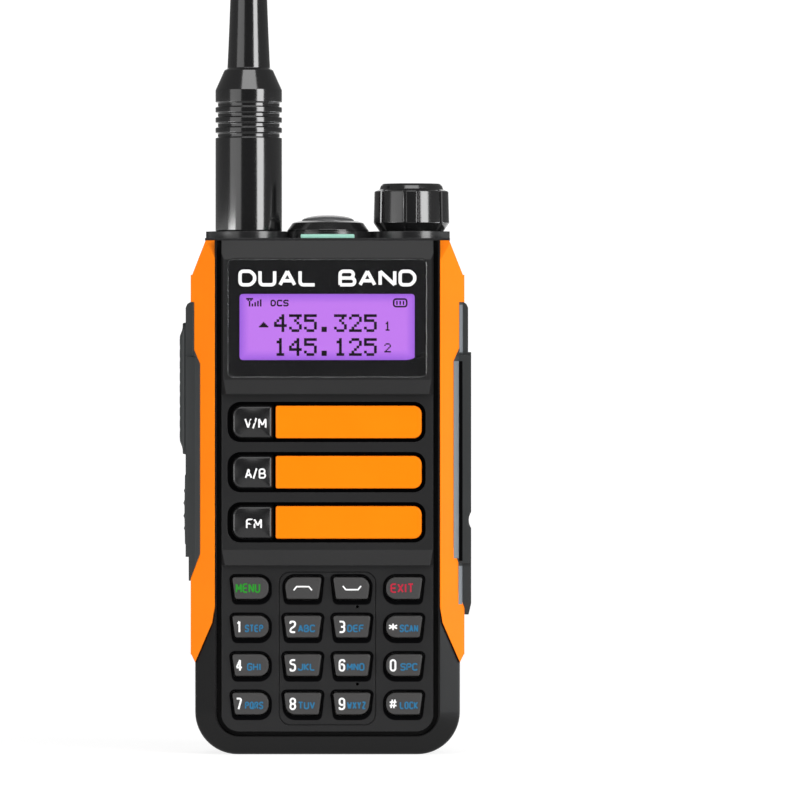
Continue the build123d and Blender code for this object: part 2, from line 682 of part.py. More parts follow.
with BuildPart() as volume_knob:
    with BuildSketch(Plane.XZ):
        with BuildLine():
            Polyline((0, 120.9), (7.4, 120.9), (8.7, 122.8), (8.4, 130.0), (7.45, 130.5),
                     (7.1, 131.3), (6.7, KNOB_TOP), (0, KNOB_TOP), close=True)
        make_face()
    revolve(axis=Axis.Z)
    with BuildSketch(Plane.XY.offset(122.0)):
        with PolarLocations(10.0, 10, start_angle=18):
            Circle(2.2)
    extrude(amount=8.5, mode=Mode.SUBTRACT)
    # socket for the flatted shaft, and room for the bushing under it
    with BuildSketch(Plane.XY.offset(120)):
        Circle(2.5)
        with Locations((0, 2.4)):
            Rectangle(6, 1.4, mode=Mode.SUBTRACT)
    extrude(amount=8.4, mode=Mode.SUBTRACT)
    with BuildSketch(Plane.XY.offset(120)):
        Circle(3.9)
    extrude(amount=2.2, mode=Mode.SUBTRACT)
volume_knob.part.position = (KNOB_X, TOP_AXIS_Y, 0)
save(volume_knob, "volume_knob")

# ------------------------------------------------------------------ antenna
with BuildPart() as antenna_socket:
    with Locations((ANTENNA_X, TOP_AXIS_Y, 113.4)):
        Box(9.0, 9.0, 6.0)
    with Locations((ANTENNA_X, TOP_AXIS_Y, 122.2)):
        Cylinder(3.1, 11.6)
    with Locations((ANTENNA_X, TOP_AXIS_Y, TOP_Z + 0.7)):
        Cylinder(4.6, 1.4)
save(antenna_socket, "antenna_socket")

with BuildPart() as antenna_insert:
    with BuildSketch(Plane.XY.offset(122.2)):
        with Locations((ANTENNA_X, TOP_AXIS_Y)):
            Circle(4.6)
            Circle(3.17, mode=Mode.SUBTRACT)
    extrude(amount=8.0)
save(antenna_insert, "antenna_insert")

GROOVE_Z = [142.35 + 2.37 * n for n in range(4)]
with BuildPart() as antenna:
    with BuildSketch(Plane.XZ):
        with BuildLine():
            outline = [(7.76, 120.7)]
            for z in GROOVE_Z:
                outline += [(7.76, z), (7.25, z + 0.25), (7.25, z + 0.95), (7.76, z + 1.2)]
            outline += [(7.76, 153.4), (5.8, 158.0), (4.98, 158.6), (4.28, 174.0),
                        (3.75, 195.0), (3.3, 225.0), (3.0, 262.0), (2.85, 297.4),
                        (2.0, ANTENNA_TOP), (0, ANTENNA_TOP)]
            Polyline([(0, 120.7)] + outline, close=True)
        make_face()
    revolve(axis=Axis.Z)
    # room for the insert and for the socket's nut
    with BuildSketch(Plane.XY.offset(120)):
        Circle(4.6)
    extrude(amount=10.2, mode=Mode.SUBTRACT)
    with BuildSketch(Plane.XY.offset(120)):
        Circle(5.1)
    extrude(amount=2.2, mode=Mode.SUBTRACT)
antenna.part.position = (ANTENNA_X, TOP_AXIS_Y, 0)
save(antenna, "antenna")

# ------------------------------------------------------------------ rear housing
with BuildPart() as rear_housing:
    with BuildSketch(Plane.XZ.offset(-5.6)):
        upright(REAR_HALF, 1.4, BODY_TOP, CORNER_R - 1.4)
    extrude(amount=1.6)
    # deeper upper part
    with BuildSketch(Plane.XY.offset(92.4)):
        with Locations((0, (SPLIT_Y + REAR_BACK) / 2)):
            Rectangle(2 * REAR_HALF, REAR_BACK - SPLIT_Y)
        fillet(vertices().group_by(Axis.Y)[-1], 5.5)
    extrude(amount=BODY_TOP - 92.4)
    fillet(rear_housing.edges().filter_by(Axis.X).group_by(Axis.Y)[-1].sort_by(Axis.Z)[0], 1.2)
    # hollow behind the wall
    with BuildSketch(Plane.XY.offset(94.2)):
        with Locations((0, 8.5)):
            RectangleRounded(2 * (REAR_HALF - WALL), 9.4, 3.6)
    extrude(amount=BODY_TOP - 94.2 - 1.4, mode=Mode.SUBTRACT)
    with BuildSketch(Plane.XZ.offset(-3)):
        with Locations((0, 105.6)):
            Rectangle(2 * (REAR_HALF - WALL) - 8, 22.0)
    extrude(amount=-4, mode=Mode.SUBTRACT)
    # slots for the battery's hooks: narrow above, wide at the lower end
    with BuildSketch(Plane.XZ.offset(-3)):
        for x in (-HOOK_X, HOOK_X):
            for z in HOOK_Z:
                with Locations((x, z)):
                    Rectangle(3.4, 6.4)
                with Locations((x, z - 11.0)):
                    Rectangle(6.4, 15.8)
    extrude(amount=-4, mode=Mode.SUBTRACT)
    # windows for the spring contacts
    with BuildSketch(Plane.XZ.offset(-3)):
        with Locations((-6, 12), (0, 12), (6, 12)):
            RectangleRounded(3.2, 5.2, 0.4)
    extrude(amount=-4, mode=Mode.SUBTRACT)
    # notch for the latch tooth
    with BuildSketch(Plane.XY.offset(92)):
        with Locations((0, 13.2)):
            Rectangle(13.0, 4.0)
    extrude(amount=1.6, mode=Mode.SUBTRACT)
    # strap eye
    with BuildSketch(Plane.YZ.offset(20.6)):
        with BuildLine():
            FilletPolyline((14.0, 108.4), (19.4, 108.4), (19.4, 115.6), (14.0, 115.6),
                           radius=[0.1, 2.4, 2.4, 0.1], close=True)
        make_face()
    extrude(amount=3.2)
    with BuildSketch(Plane.YZ.offset(18)):
        with Locations((17.0, 112.0)):
            Circle(1.5)
    extrude(amount=8, mode=Mode.SUBTRACT)
    # pilot holes of the clip screws
    with BuildSketch(Plane.XZ.offset(-REAR_BACK)):
        with Locations((-6.0, 101.0), (6.0, 101.0)):
            Circle(0.95)
    extrude(amount=3.0, mode=Mode.SUBTRACT)
    add(shoulder_cut, mode=Mode.SUBTRACT)
save(rear_housing, "rear_housing")

# ------------------------------------------------------------------ inside parts
SPEAKER_X, SPEAKER_Z = 5.0, 65.05
with BuildPart() as main_board:
    with BuildSketch(Plane.XZ.offset(10.8)):
        with Locations((0, 59.5)):
            RectangleRounded(52.0, 109.0, 2.0)
        with Locations((SPEAKER_X, SPEAKER_Z)):
            Circle(15.6, mode=Mode.SUBTRACT)
        with Locations((24.0, 70.0)):
            Rectangle(8.0, 21.6, mode=Mode.SUBTRACT)
    extrude(amount=1.4)
    # shield cans on the back
    for x, z, w, h in ((0, 33.0, 40.0, 26.0), (-11.0, 96.0, 22.0, 20.0)):
        with BuildSketch(Plane.XZ.offset(10.8)):
            with Locations((x, z)):
                RectangleRounded(w, h, 0.8)
        extrude(amount=-3.0)
save(main_board, "main_board")

with BuildPart() as loudspeaker:
    with BuildSketch(Plane.XY):
        with BuildLine():
            Polyline((0, 15.4), (15.0, 15.4), (15.0, 14.2), (12.5, 12.6), (8.5, 11.6),
                     (8.5, 8.2), (0, 8.2), close=True)
        make_face()
    revolve(axis=Axis.Y)
loudspeaker.part = loudspeaker.part.rotate(Axis.X, 180)
loudspeaker.part.position = (SPEAKER_X, 0, SPEAKER_Z)
save(loudspeaker, "loudspeaker")

with BuildPart() as spring_contacts:
    for x in (-6, 0, 6):
        with BuildSketch(Plane.YZ.offset(x - 1.0)):
            with BuildLine():
                Polyline((-10.8, 10.2), (4.4, 10.2), (5.5, 11.4), (5.5, 12.6), (4.9, 12.6),
                         (4.9, 11.7), (4.1, 10.8), (-10.8, 10.8), close=True)
            make_face()
        extrude(amount=2.0)
save(spring_contacts, "spring_contacts")

# ------------------------------------------------------------------ battery pack
with BuildPart() as battery_shell:
    with BuildSketch(Plane.XZ.offset(-BATTERY_BACK)):
        upright(BATTERY_HALF, 0, BATTERY_TOP, CORNER_R)
    extrude(amount=BATTERY_BACK - TRAY_BACK)
    back_rim = battery_shell.faces().sort_by(Axis.Y)[-1].edges()
    chamfer(back_rim, 3.2)
    fillet(battery_shell.faces().sort_by(Axis.Y)[-1].edges(), 2.4)
    # hollow for the cells
    with BuildSketch(Plane.XZ.offset(-TRAY_BACK)):
        upright(BATTERY_HALF - 3.4, 3.4, 82.0, 6.0)
    extrude(amount=-7.8, mode=Mode.SUBTRACT)
    # pocket of the latch
    with BuildSketch(Plane.XZ.offset(-12.0)):
        with Locations((0, 88.8)):
            Rectangle(17.0, 8.0)
    extrude(amount=-10, mode=Mode.SUBTRACT)
    # finger ribs beside the label recess
    for z in [8.0 + 2.6 * n for n in range(5)]:
        with BuildSketch(Plane.XZ.offset(-BATTERY_BACK)):
            with Locations((0, z)):
                SlotOverall(26.0, 1.0)
        extrude(amount=0.5, mode=Mode.SUBTRACT)
save(battery_shell, "battery_shell")

with BuildPart() as battery_tray:
    with BuildSketch(Plane.XZ.offset(-TRAY_BACK)):
        upright(BATTERY_HALF, 0, BATTERY_TOP, CORNER_R)
    extrude(amount=TRAY_BACK - BATTERY_FRONT)
    with BuildSketch(Plane.XZ.offset(-TRAY_BACK)):
        upright(BATTERY_HALF - 3.4, 3.4, 82.0, 6.0)
    extrude(amount=1.2, mode=Mode.SUBTRACT)
    # hooks that slide in the rear housing's slots
    for x in (-HOOK_X, HOOK_X):
        for z in HOOK_Z:
            with BuildSketch(Plane.XZ.offset(-BATTERY_FRONT)):
                with Locations((x, z)):
                    Rectangle(2.8, 4.0)
            extrude(amount=2.8)
            with BuildSketch(Plane.XZ.offset(-3.1)):
                with Locations((x, z)):
                    Rectangle(5.6, 4.0)
            extrude(amount=1.2)
save(battery_tray, "battery_tray")

with BuildPart() as battery_cells:
    with BuildSketch(Plane.XZ.offset(0.8 - TRAY_BACK)):
        with Locations((-12.6, 44.0), (12.6, 44.0)):
            RectangleRounded(24.0, 72.0, 1.5)
    extrude(amount=-8.2)
save(battery_cells, "battery_cells")

with BuildPart() as charge_contacts:
    for x in (-20.0, 20.0):
        with BuildSketch(Plane.XZ.offset(-BATTERY_BACK - 0.05)):
            with Locations((x, 14.0)):
                RectangleRounded(4.0, 7.0, 0.6)
        extrude(amount=-0.25)
save(charge_contacts, "charge_contacts")

with BuildPart() as battery_latch:
    with BuildSketch(Plane.YZ):
        with BuildLine():
            FilletPolyline((14.2, 85.1), (18.9, 85.1), (18.9, 91.6), (15.0, 91.6), (15.0, 93.2),
                           (13.8, 93.2), (13.8, 91.6), (14.2, 91.6), radius=0.15, close=True)
        make_face()
    extrude(amount=5.8, both=True)
    with BuildSketch(Plane.XZ.offset(-14.2)):
        with Locations((0, 88.4)):
            Rectangle(16.2, 6.4)
    extrude(amount=-4.2)
    for z in (86.8, 88.4, 90.0):
        with BuildSketch(Plane.XZ.offset(-18.9)):
            with Locations((0, z)):
                Rectangle(9.0, 0.5)
        extrude(amount=0.4, mode=Mode.SUBTRACT)
save(battery_latch, "battery_latch")

# ------------------------------------------------------------------ belt clip
with BuildPart() as clip_bracket:
    with BuildSketch(Plane.XZ.offset(-REAR_BACK)):
        with Locations((0, 105.5)):
            RectangleRounded(23.0, 17.0, 2.0)
        with Locations((-6.0, 101.0), (6.0, 101.0)):
            Circle(1.3, mode=Mode.SUBTRACT)
    extrude(amount=-1.4)
    with BuildSketch(Plane.YZ.offset(-11.4)):
        with BuildLine():
            FilletPolyline((REAR_BACK, 102.6), (21.4, 104.4), (21.4, 109.6), (REAR_BACK, 111.4),
                           radius=[0.1, 2.2, 2.2, 0.1], close=True)
        make_face()
    extrude(amount=1.6)
    with BuildSketch(Plane.YZ.offset(9.8)):
        with BuildLine():
            FilletPolyline((REAR_BACK, 102.6), (21.4, 104.4), (21.4, 109.6), (REAR_BACK, 111.4),
                           radius=[0.1, 2.2, 2.2, 0.1], close=True)
        make_face()
    extrude(amount=1.6)
    with BuildSketch(Plane.YZ.offset(-12)):
        with Locations((CLIP_PIN_Y, CLIP_PIN_Z)):
            Circle(CLIP_PIN_R)
    extrude(amount=24, mode=Mode.SUBTRACT)
save(clip_bracket, "clip_bracket")

with BuildPart() as clip_pin:
    with BuildSketch(Plane.YZ.offset(-11.7)):
        with Locations((CLIP_PIN_Y, CLIP_PIN_Z)):
            Circle(CLIP_PIN_R)
    extrude(amount=23.4)
save(clip_pin, "clip_pin")

with BuildPart() as clip_screws:
    for x in (-6.0, 6.0):
        with BuildSketch(Plane.XZ.offset(-REAR_BACK - 1.4)):
            with Locations((x, 101.0)):
                Circle(2.1)
        extrude(amount=-0.9)
        with BuildSketch(Plane.XZ.offset(-REAR_BACK - 1.4)):
            with Locations((x, 101.0)):
                Circle(0.9)
        extrude(amount=4.0)
        with BuildSketch(Plane.XZ.offset(-REAR_BACK - 2.3)):
            with Locations((x, 101.0)):
                Rectangle(2.6, 0.5)
                Rectangle(0.5, 2.6)
        extrude(amount=0.5, mode=Mode.SUBTRACT)
save(clip_screws, "clip_screws")

with BuildPart() as belt_clip:
    with BuildSketch(Plane.YZ):
        with BuildLine():
            FilletPolyline(
                (CLIP_ARM_Y, 113.4), (23.2, 113.4), (23.3, 104.0), (25.8, 92.0), (26.0, 60.0),
                (21.4, 42.6), (22.6, 39.4), (20.8, 38.6), (18.9, 43.6), (24.0, 61.0),
                (23.9, 91.0), (21.4, 103.0), (CLIP_ARM_Y, 106.0),
                radius=[0.7, 0.7, 2, 3, 6, 2, 0.6, 0.6, 2, 6, 3, 2, 0.2], close=True)
        make_face()
        with Locations((CLIP_PIN_Y, CLIP_PIN_Z)):
            Circle(2.2)
    extrude(amount=9.0, both=True)
    with BuildSketch(Plane.XZ.offset(-30)):
        with BuildLine():
            FilletPolyline((-9.4, 114.5), (9.4, 114.5), (9.4, 60.0), (7.6, 38.0), (-7.6, 38.0),
                           (-9.4, 60.0), radius=[0.5, 0.5, 8, 3.5, 3.5, 8], close=True)
        make_face()
    extrude(amount=20, mode=Mode.INTERSECT)
    # pin hole, and a gap in the knuckle for the spring's coils
    with BuildSketch(Plane.YZ.offset(-10)):
        with Locations((CLIP_PIN_Y, CLIP_PIN_Z)):
            Circle(CLIP_PIN_R + 0.06)
    extrude(amount=20, mode=Mode.SUBTRACT)
    with BuildSketch(Plane.YZ.offset(-5.2)):
        with Locations(((CLIP_ARM_Y + 16.0) / 2, CLIP_PIN_Z)):
            Rectangle(CLIP_ARM_Y - 16.0, 6.0)
    extrude(amount=10.4, mode=Mode.SUBTRACT)
save(belt_clip, "belt_clip")

with BuildPart() as clip_spring:
    with BuildSketch(Plane.YZ.offset(-4.6)):
        with Locations((CLIP_PIN_Y, CLIP_PIN_Z)):
            Circle(1.75)
            Circle(1.15, mode=Mode.SUBTRACT)
    extrude(amount=9.2)
    with BuildSketch(Plane.YZ.offset(-0.4)):
        with BuildLine():
            Polyline((17.75, 107.0), (17.45, 107.0), (16.4, 103.5), (17.0, 103.5), close=True)
        make_face()
    extrude(amount=0.8)
save(clip_spring, "clip_spring")
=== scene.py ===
"""Two way radio: finishes, fine pieces and studio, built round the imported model.

Every length in this file is in millimetres and is turned into metres where a mesh is made,
unless a name or a comment says otherwise. +Z is up along the antenna, and the keypad faces -Y.
"""
import json
import math

import bpy
import numpy as np
from bpy.props import FloatProperty, FloatVectorProperty, IntProperty, PointerProperty
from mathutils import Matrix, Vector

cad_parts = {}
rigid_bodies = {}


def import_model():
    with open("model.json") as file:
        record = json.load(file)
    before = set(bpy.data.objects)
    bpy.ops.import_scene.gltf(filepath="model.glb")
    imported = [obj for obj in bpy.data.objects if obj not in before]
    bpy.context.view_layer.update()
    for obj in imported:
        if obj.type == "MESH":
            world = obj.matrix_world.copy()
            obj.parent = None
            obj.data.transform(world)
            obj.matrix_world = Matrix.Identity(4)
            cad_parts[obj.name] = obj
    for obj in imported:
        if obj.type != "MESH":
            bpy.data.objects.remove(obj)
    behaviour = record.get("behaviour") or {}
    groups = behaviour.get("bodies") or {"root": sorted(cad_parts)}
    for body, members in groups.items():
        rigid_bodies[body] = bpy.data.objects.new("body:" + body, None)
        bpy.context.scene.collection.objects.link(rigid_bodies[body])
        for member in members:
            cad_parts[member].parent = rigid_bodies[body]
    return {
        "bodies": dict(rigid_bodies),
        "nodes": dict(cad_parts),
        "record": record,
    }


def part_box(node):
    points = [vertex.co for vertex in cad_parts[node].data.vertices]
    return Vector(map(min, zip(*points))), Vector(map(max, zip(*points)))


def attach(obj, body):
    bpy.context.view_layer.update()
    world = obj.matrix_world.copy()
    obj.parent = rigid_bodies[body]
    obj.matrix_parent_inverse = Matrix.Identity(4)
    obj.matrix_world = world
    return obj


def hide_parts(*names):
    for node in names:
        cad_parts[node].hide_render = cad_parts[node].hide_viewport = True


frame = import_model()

bl_info = {
    "name": "Two way radio",
    "version": (1, 0, 0),
    "blender": (4, 5, 0),
    "location": "View3D > Sidebar > Radio",
    "description": "Makes the finishes, fine pieces and studio of a hand-held two way radio",
    "category": "Add Mesh",
}

MM = 0.001
CAD_NODES = {part["node"]: part["material_slot"] for part in frame["record"]["subparts"]}


def cad_box(node):
    """Lowest and highest corner of a CAD node in millimetres."""
    low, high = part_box(node)
    return np.array(low) / MM, np.array(high) / MM


def middle(node):
    """Middle of a CAD node's box in millimetres."""
    low, high = cad_box(node)
    return (low + high) / 2


def outline_of(node, axes=(0, 2)):
    """Middle and size of a CAD node's box across two axes, in millimetres."""
    low, high = (corner[list(axes)] for corner in cad_box(node))
    return (low + high) / 2, high - low


# ---------------------------------------------------------------- what a user may change
def colour_setting(name, rgb, text):
    """A linear colour setting."""
    return FloatVectorProperty(name=name, description=text, subtype="COLOR", size=3,
                               min=0.0, max=1.0, default=rgb)


def size_setting(name, value, text):
    """A length setting, kept in metres and given here in millimetres."""
    return FloatProperty(name=name, description=text, unit="LENGTH", precision=5, min=0.0,
                         default=value * MM)


class RadioColours(bpy.types.PropertyGroup):
    """Colours of the radio's finishes."""
    shell: colour_setting("Shell", (0.0060, 0.0060, 0.0062), "Moulded black of the housings")
    panel: colour_setting("Panel", (0.0175, 0.0175, 0.0180), "Black of the front panel")
    orange: colour_setting("Orange", (1.0, 0.212, 0.0), "Side panels and bars")
    key: colour_setting("Keys", (0.043, 0.042, 0.042), "Tops of the keypad's keys")
    rubber: colour_setting("Rubber", (0.022, 0.025, 0.026), "Side pads, buttons and flap")
    screen: colour_setting("Screen", (0.64, 0.235, 1.0), "Lit ground of the display")
    ink: colour_setting("Digits", (0.006, 0.001, 0.008), "Dark dots of the display")
    white: colour_setting("White print", (0.86, 0.86, 0.86), "Numbers and glyphs on the keys")
    blue: colour_setting("Blue print", (0.006, 0.130, 0.270), "Small letters on the keys")
    green: colour_setting("Green print", (0.004, 0.235, 0.004), "Legend of the menu key")
    red: colour_setting("Red print", (0.42, 0.003, 0.028), "Legend of the exit key")
    mint: colour_setting("Status light", (0.30, 0.58, 0.48), "Translucent status light")


class RadioSizes(bpy.types.PropertyGroup):
    """Sizes of the fine shapes that the model leaves plain."""
    key_crown: size_setting("Key crown", 0.10, "Height of a key's middle above its rim")
    key_edge: size_setting("Key edge", 0.42, "Width of the round edge of a key")
    dot_pitch: size_setting("Dot pitch", 0.575, "Pitch of the display's dots")
    print_height: size_setting("Print height", 0.03, "How far printed legends stand out")
    grip_pitch: size_setting("Grip pitch", 2.7, "Pitch of the ridges on the talk button")
    grip_depth: size_setting("Grip depth", 0.28, "Depth of the ridges on the talk button")
    spring_wire: size_setting("Spring wire", 0.5, "Diameter of the clip spring's wire")
    thread_pitch: size_setting("Thread pitch", 0.7, "Pitch of the antenna stud's thread")
    knob_ribs: IntProperty(name="Knob ribs", description="Ribs round the volume knob",
                           min=3, max=24, default=6)


class RadioStudio(bpy.types.PropertyGroup):
    """Camera and light."""
    distance: FloatProperty(name="Distance", description="From the camera to the front panel",
                            unit="LENGTH", min=0.5, default=2.3)
    field: FloatProperty(name="Field", description="Width seen at the front panel",
                         unit="LENGTH", min=0.05, default=0.184)
    aim: FloatVectorProperty(name="Aim", description="Point in the middle of the view",
                             unit="LENGTH", size=3, default=(0.0167, -0.018, 0.08165))
    sky: FloatProperty(name="Sky", description="Strength of the light all round", min=0.0,
                       default=0.17)
    above: FloatProperty(name="Upper lamp", description="Power of the lamp above the camera",
                         unit="POWER", min=0.0, default=12.0)
    side: FloatProperty(name="Side lamps", description="Power of the lamp to the right of it",
                        unit="POWER", min=0.0, default=14.0)
    side_share: FloatProperty(name="Left share", description="Power of the left lamp as a share "
                              "of the right one's", min=0.0, max=1.0, default=0.35)
    low: FloatProperty(name="Low lamps", description="Power of the small lamps beside the radio",
                       unit="POWER", min=0.0, default=0.5)


def colours():
    """The colour settings."""
    return bpy.context.scene.radio_colours


def sizes():
    """The size settings, which are in metres."""
    return bpy.context.scene.radio_sizes


def millimetres(name):
    """A size setting in millimetres."""
    return getattr(sizes(), name) / MM


# ---------------------------------------------------------------- finishes
class Finish:
    """A material's node tree with one Principled shader, and short ways to add to it."""

    def __init__(self, name, colour, rough, metallic=0.0, specular=0.5):
        self.material = bpy.data.materials.new(name)
        self.material.use_nodes = True
        self.material.diffuse_color = (*colour, 1.0)
        self.nodes = self.material.node_tree.nodes
        self.links = self.material.node_tree.links
        self.shader = self.nodes["Principled BSDF"]
        self.set(base_color=(*colour, 1.0), roughness=rough, metallic=metallic,
                 specular_ior_level=specular)
        self.colour = np.array(colour)
        self.rough = rough
        self.normal = None

    def set(self, **sockets):
        """Sets plain values on the shader's own sockets."""
        titles = {s.name.lower().replace(" ", "_"): s for s in self.shader.inputs}
        for name, value in sockets.items():
            titles[name].default_value = value
        return self

    def add(self, kind, inputs=(), **settings):
        """A new node; inputs are (socket, value or output) pairs."""
        node = self.nodes.new("ShaderNode" + kind)
        for name, value in settings.items():
            setattr(node, name, value)
        for socket, value in inputs:
            if isinstance(value, bpy.types.NodeSocket):
                self.links.new(value, node.inputs[socket])
            else:
                node.inputs[socket].default_value = value
        return node

    def join(self, output, socket):
        """Links an output to one of the shader's sockets."""
        self.links.new(output, self.shader.inputs[socket])

    def blend(self, share, first, second, socket):
        """Links a mix of two colours to one of the shader's sockets."""
        mix = self.add("Mix", [(0, share)], data_type="RGBA")
        mix.inputs["A"].default_value = (*first, 1.0)
        mix.inputs["B"].default_value = (*second, 1.0)
        self.join(mix.outputs["Result"], socket)

    def place(self, stretch=(1.0, 1.0, 1.0)):
        """Object coordinates, stretched per axis."""
        where = self.add("TexCoord").outputs["Object"]
        return self.add("Mapping", [("Vector", where), ("Scale", stretch)]).outputs["Vector"]

    def noise(self, size, detail=2.0, stretch=(1.0, 1.0, 1.0)):
        """Noise whose spots are about size millimetres across."""
        node = self.add("TexNoise", [("Vector", self.place(stretch)), ("Scale", 1 / (size * MM)),
                                     ("Detail", detail), ("Roughness", 0.55)])
        return node.outputs["Fac"]

    def soften(self, radius):
        """Rounds edges in the shading, by radius millimetres."""
        self.normal = self.add("Bevel", [("Radius", radius * MM)], samples=4).outputs["Normal"]
        return self

    def bump(self, height, depth, strength=1.0):
        """Bumps the surface by a height output, depth millimetres from trough to crest."""
        node = self.add("Bump", [("Height", height), ("Distance", depth * MM),
                                 ("Strength", strength)])
        if self.normal is not None:
            self.links.new(self.normal, node.inputs["Normal"])
        self.normal = node.outputs["Normal"]
        return self

    def drift(self, size, colour=0.08, rough=0.05):
        """Colour and roughness drift by these shares over spots of a size in millimetres."""
        fac = self.noise(size, 3.0)
        self.blend(fac, self.colour * (1 - colour), np.minimum(self.colour * (1 + colour), 1.0),
                   "Base Color")
        span = self.add("MapRange", [("Value", fac), ("To Min", self.rough - rough),
                                     ("To Max", self.rough + rough)])
        self.join(span.outputs["Result"], "Roughness")
        return self

    def done(self):
        """Joins the normal to the shader and gives the material."""
        if self.normal is not None:
            self.join(self.normal, "Normal")
        return self.material


def moulded(name, colour, rough, grain=0.35, depth=0.012, edge=0.25, coat=0.0, specular=0.5):
    """Moulded plastic or rubber: a fine spark-eroded grain, a slow drift and soft edges."""
    finish = Finish(name, colour, rough, specular=specular)
    finish.set(coat_weight=coat, coat_roughness=0.12)
    if edge:
        finish.soften(edge)
    finish.bump(finish.noise(grain, 3.0), depth)
    return finish.drift(14.0).done()


def metal(name, colour, rough, stretch=(1.0, 1.0, 1.0), edge=0.15):
    """Bare metal with fine drawn lines; stretch below 1 lengthens the lines along an axis."""
    finish = Finish(name, colour, rough, metallic=1.0).soften(edge)
    finish.bump(finish.noise(0.2, 2.0, stretch), 0.01)
    return finish.drift(5.0, 0.06, 0.06).done()


def clear(name, colour, ior=1.49):
    """Clear plastic with a slight tint and hardly any haze."""
    finish = Finish(name, colour, 0.03)
    finish.set(transmission_weight=1.0, ior=ior)
    return finish.bump(finish.noise(6.0, 1.0), 0.002).done()


def frosted(name, colour):
    """Smoked lens: half see-through, with a fine haze."""
    finish = Finish(name, colour, 0.16)
    finish.set(transmission_weight=0.3, ior=1.49)
    return finish.bump(finish.noise(0.5, 1.0), 0.003).drift(3.0, 0.05, 0.03).done()


def lit_screen(name, colour):
    """Backlit screen: even light that deepens a little towards its four edges."""
    finish = Finish(name, colour, 0.35, specular=0.2)
    centre = middle("lcd_panel") * MM
    rim_width, rim_tint = 2.2, np.array([0.62, 0.6, 0.86])
    split = finish.add("SeparateXYZ", [("Vector", finish.add("TexCoord").outputs["Object"])])
    shares = []
    for axis, half, at in (("X", 20.2, centre[0]), ("Z", 7.6, centre[2])):
        off = finish.add("Math", [(0, split.outputs[axis]), (1, at)], operation="SUBTRACT")
        far = finish.add("Math", [(0, off.outputs[0])], operation="ABSOLUTE")
        shares.append(finish.add("MapRange", [("Value", far.outputs[0]),
                                              ("From Min", (half - rim_width) * MM),
                                              ("From Max", half * MM)]).outputs["Result"])
    rim = finish.add("Math", [(0, shares[0]), (1, shares[1])], operation="MAXIMUM").outputs[0]
    finish.blend(rim, colour, rim_tint * colour, "Emission Color")
    return finish.set(base_color=(0.02, 0.01, 0.03, 1.0), emission_strength=1.0).done()


def board(name, colour):
    """Solder mask over copper: square cells of two greens, with the copper slightly raised."""
    finish = Finish(name, colour, 0.35)
    cells = finish.add("TexVoronoi", [("Vector", finish.place()), ("Scale", 420.0)],
                       distance="CHEBYCHEV")
    finish.blend(cells.outputs["Distance"], (0.01, 0.16, 0.06), colour, "Base Color")
    return finish.bump(cells.outputs["Distance"], 0.03).done()


def glowing(name, colour, strength, rough=0.3):
    """A light guide or phosphor that shines a little by itself, with a faint cloudiness."""
    finish = Finish(name, colour, rough)
    finish.set(emission_color=(*colour, 1.0), emission_strength=strength,
               subsurface_weight=0.3, subsurface_radius=(0.001, 0.001, 0.001))
    return finish.bump(finish.noise(0.8), 0.005).done()


def ink(name, colour, rough=0.45):
    """Printed ink: flat colour with the slight unevenness of a pad print."""
    finish = Finish(name, colour, rough)
    return finish.bump(finish.noise(0.15), 0.003).drift(0.6, 0.04, 0.08).done()


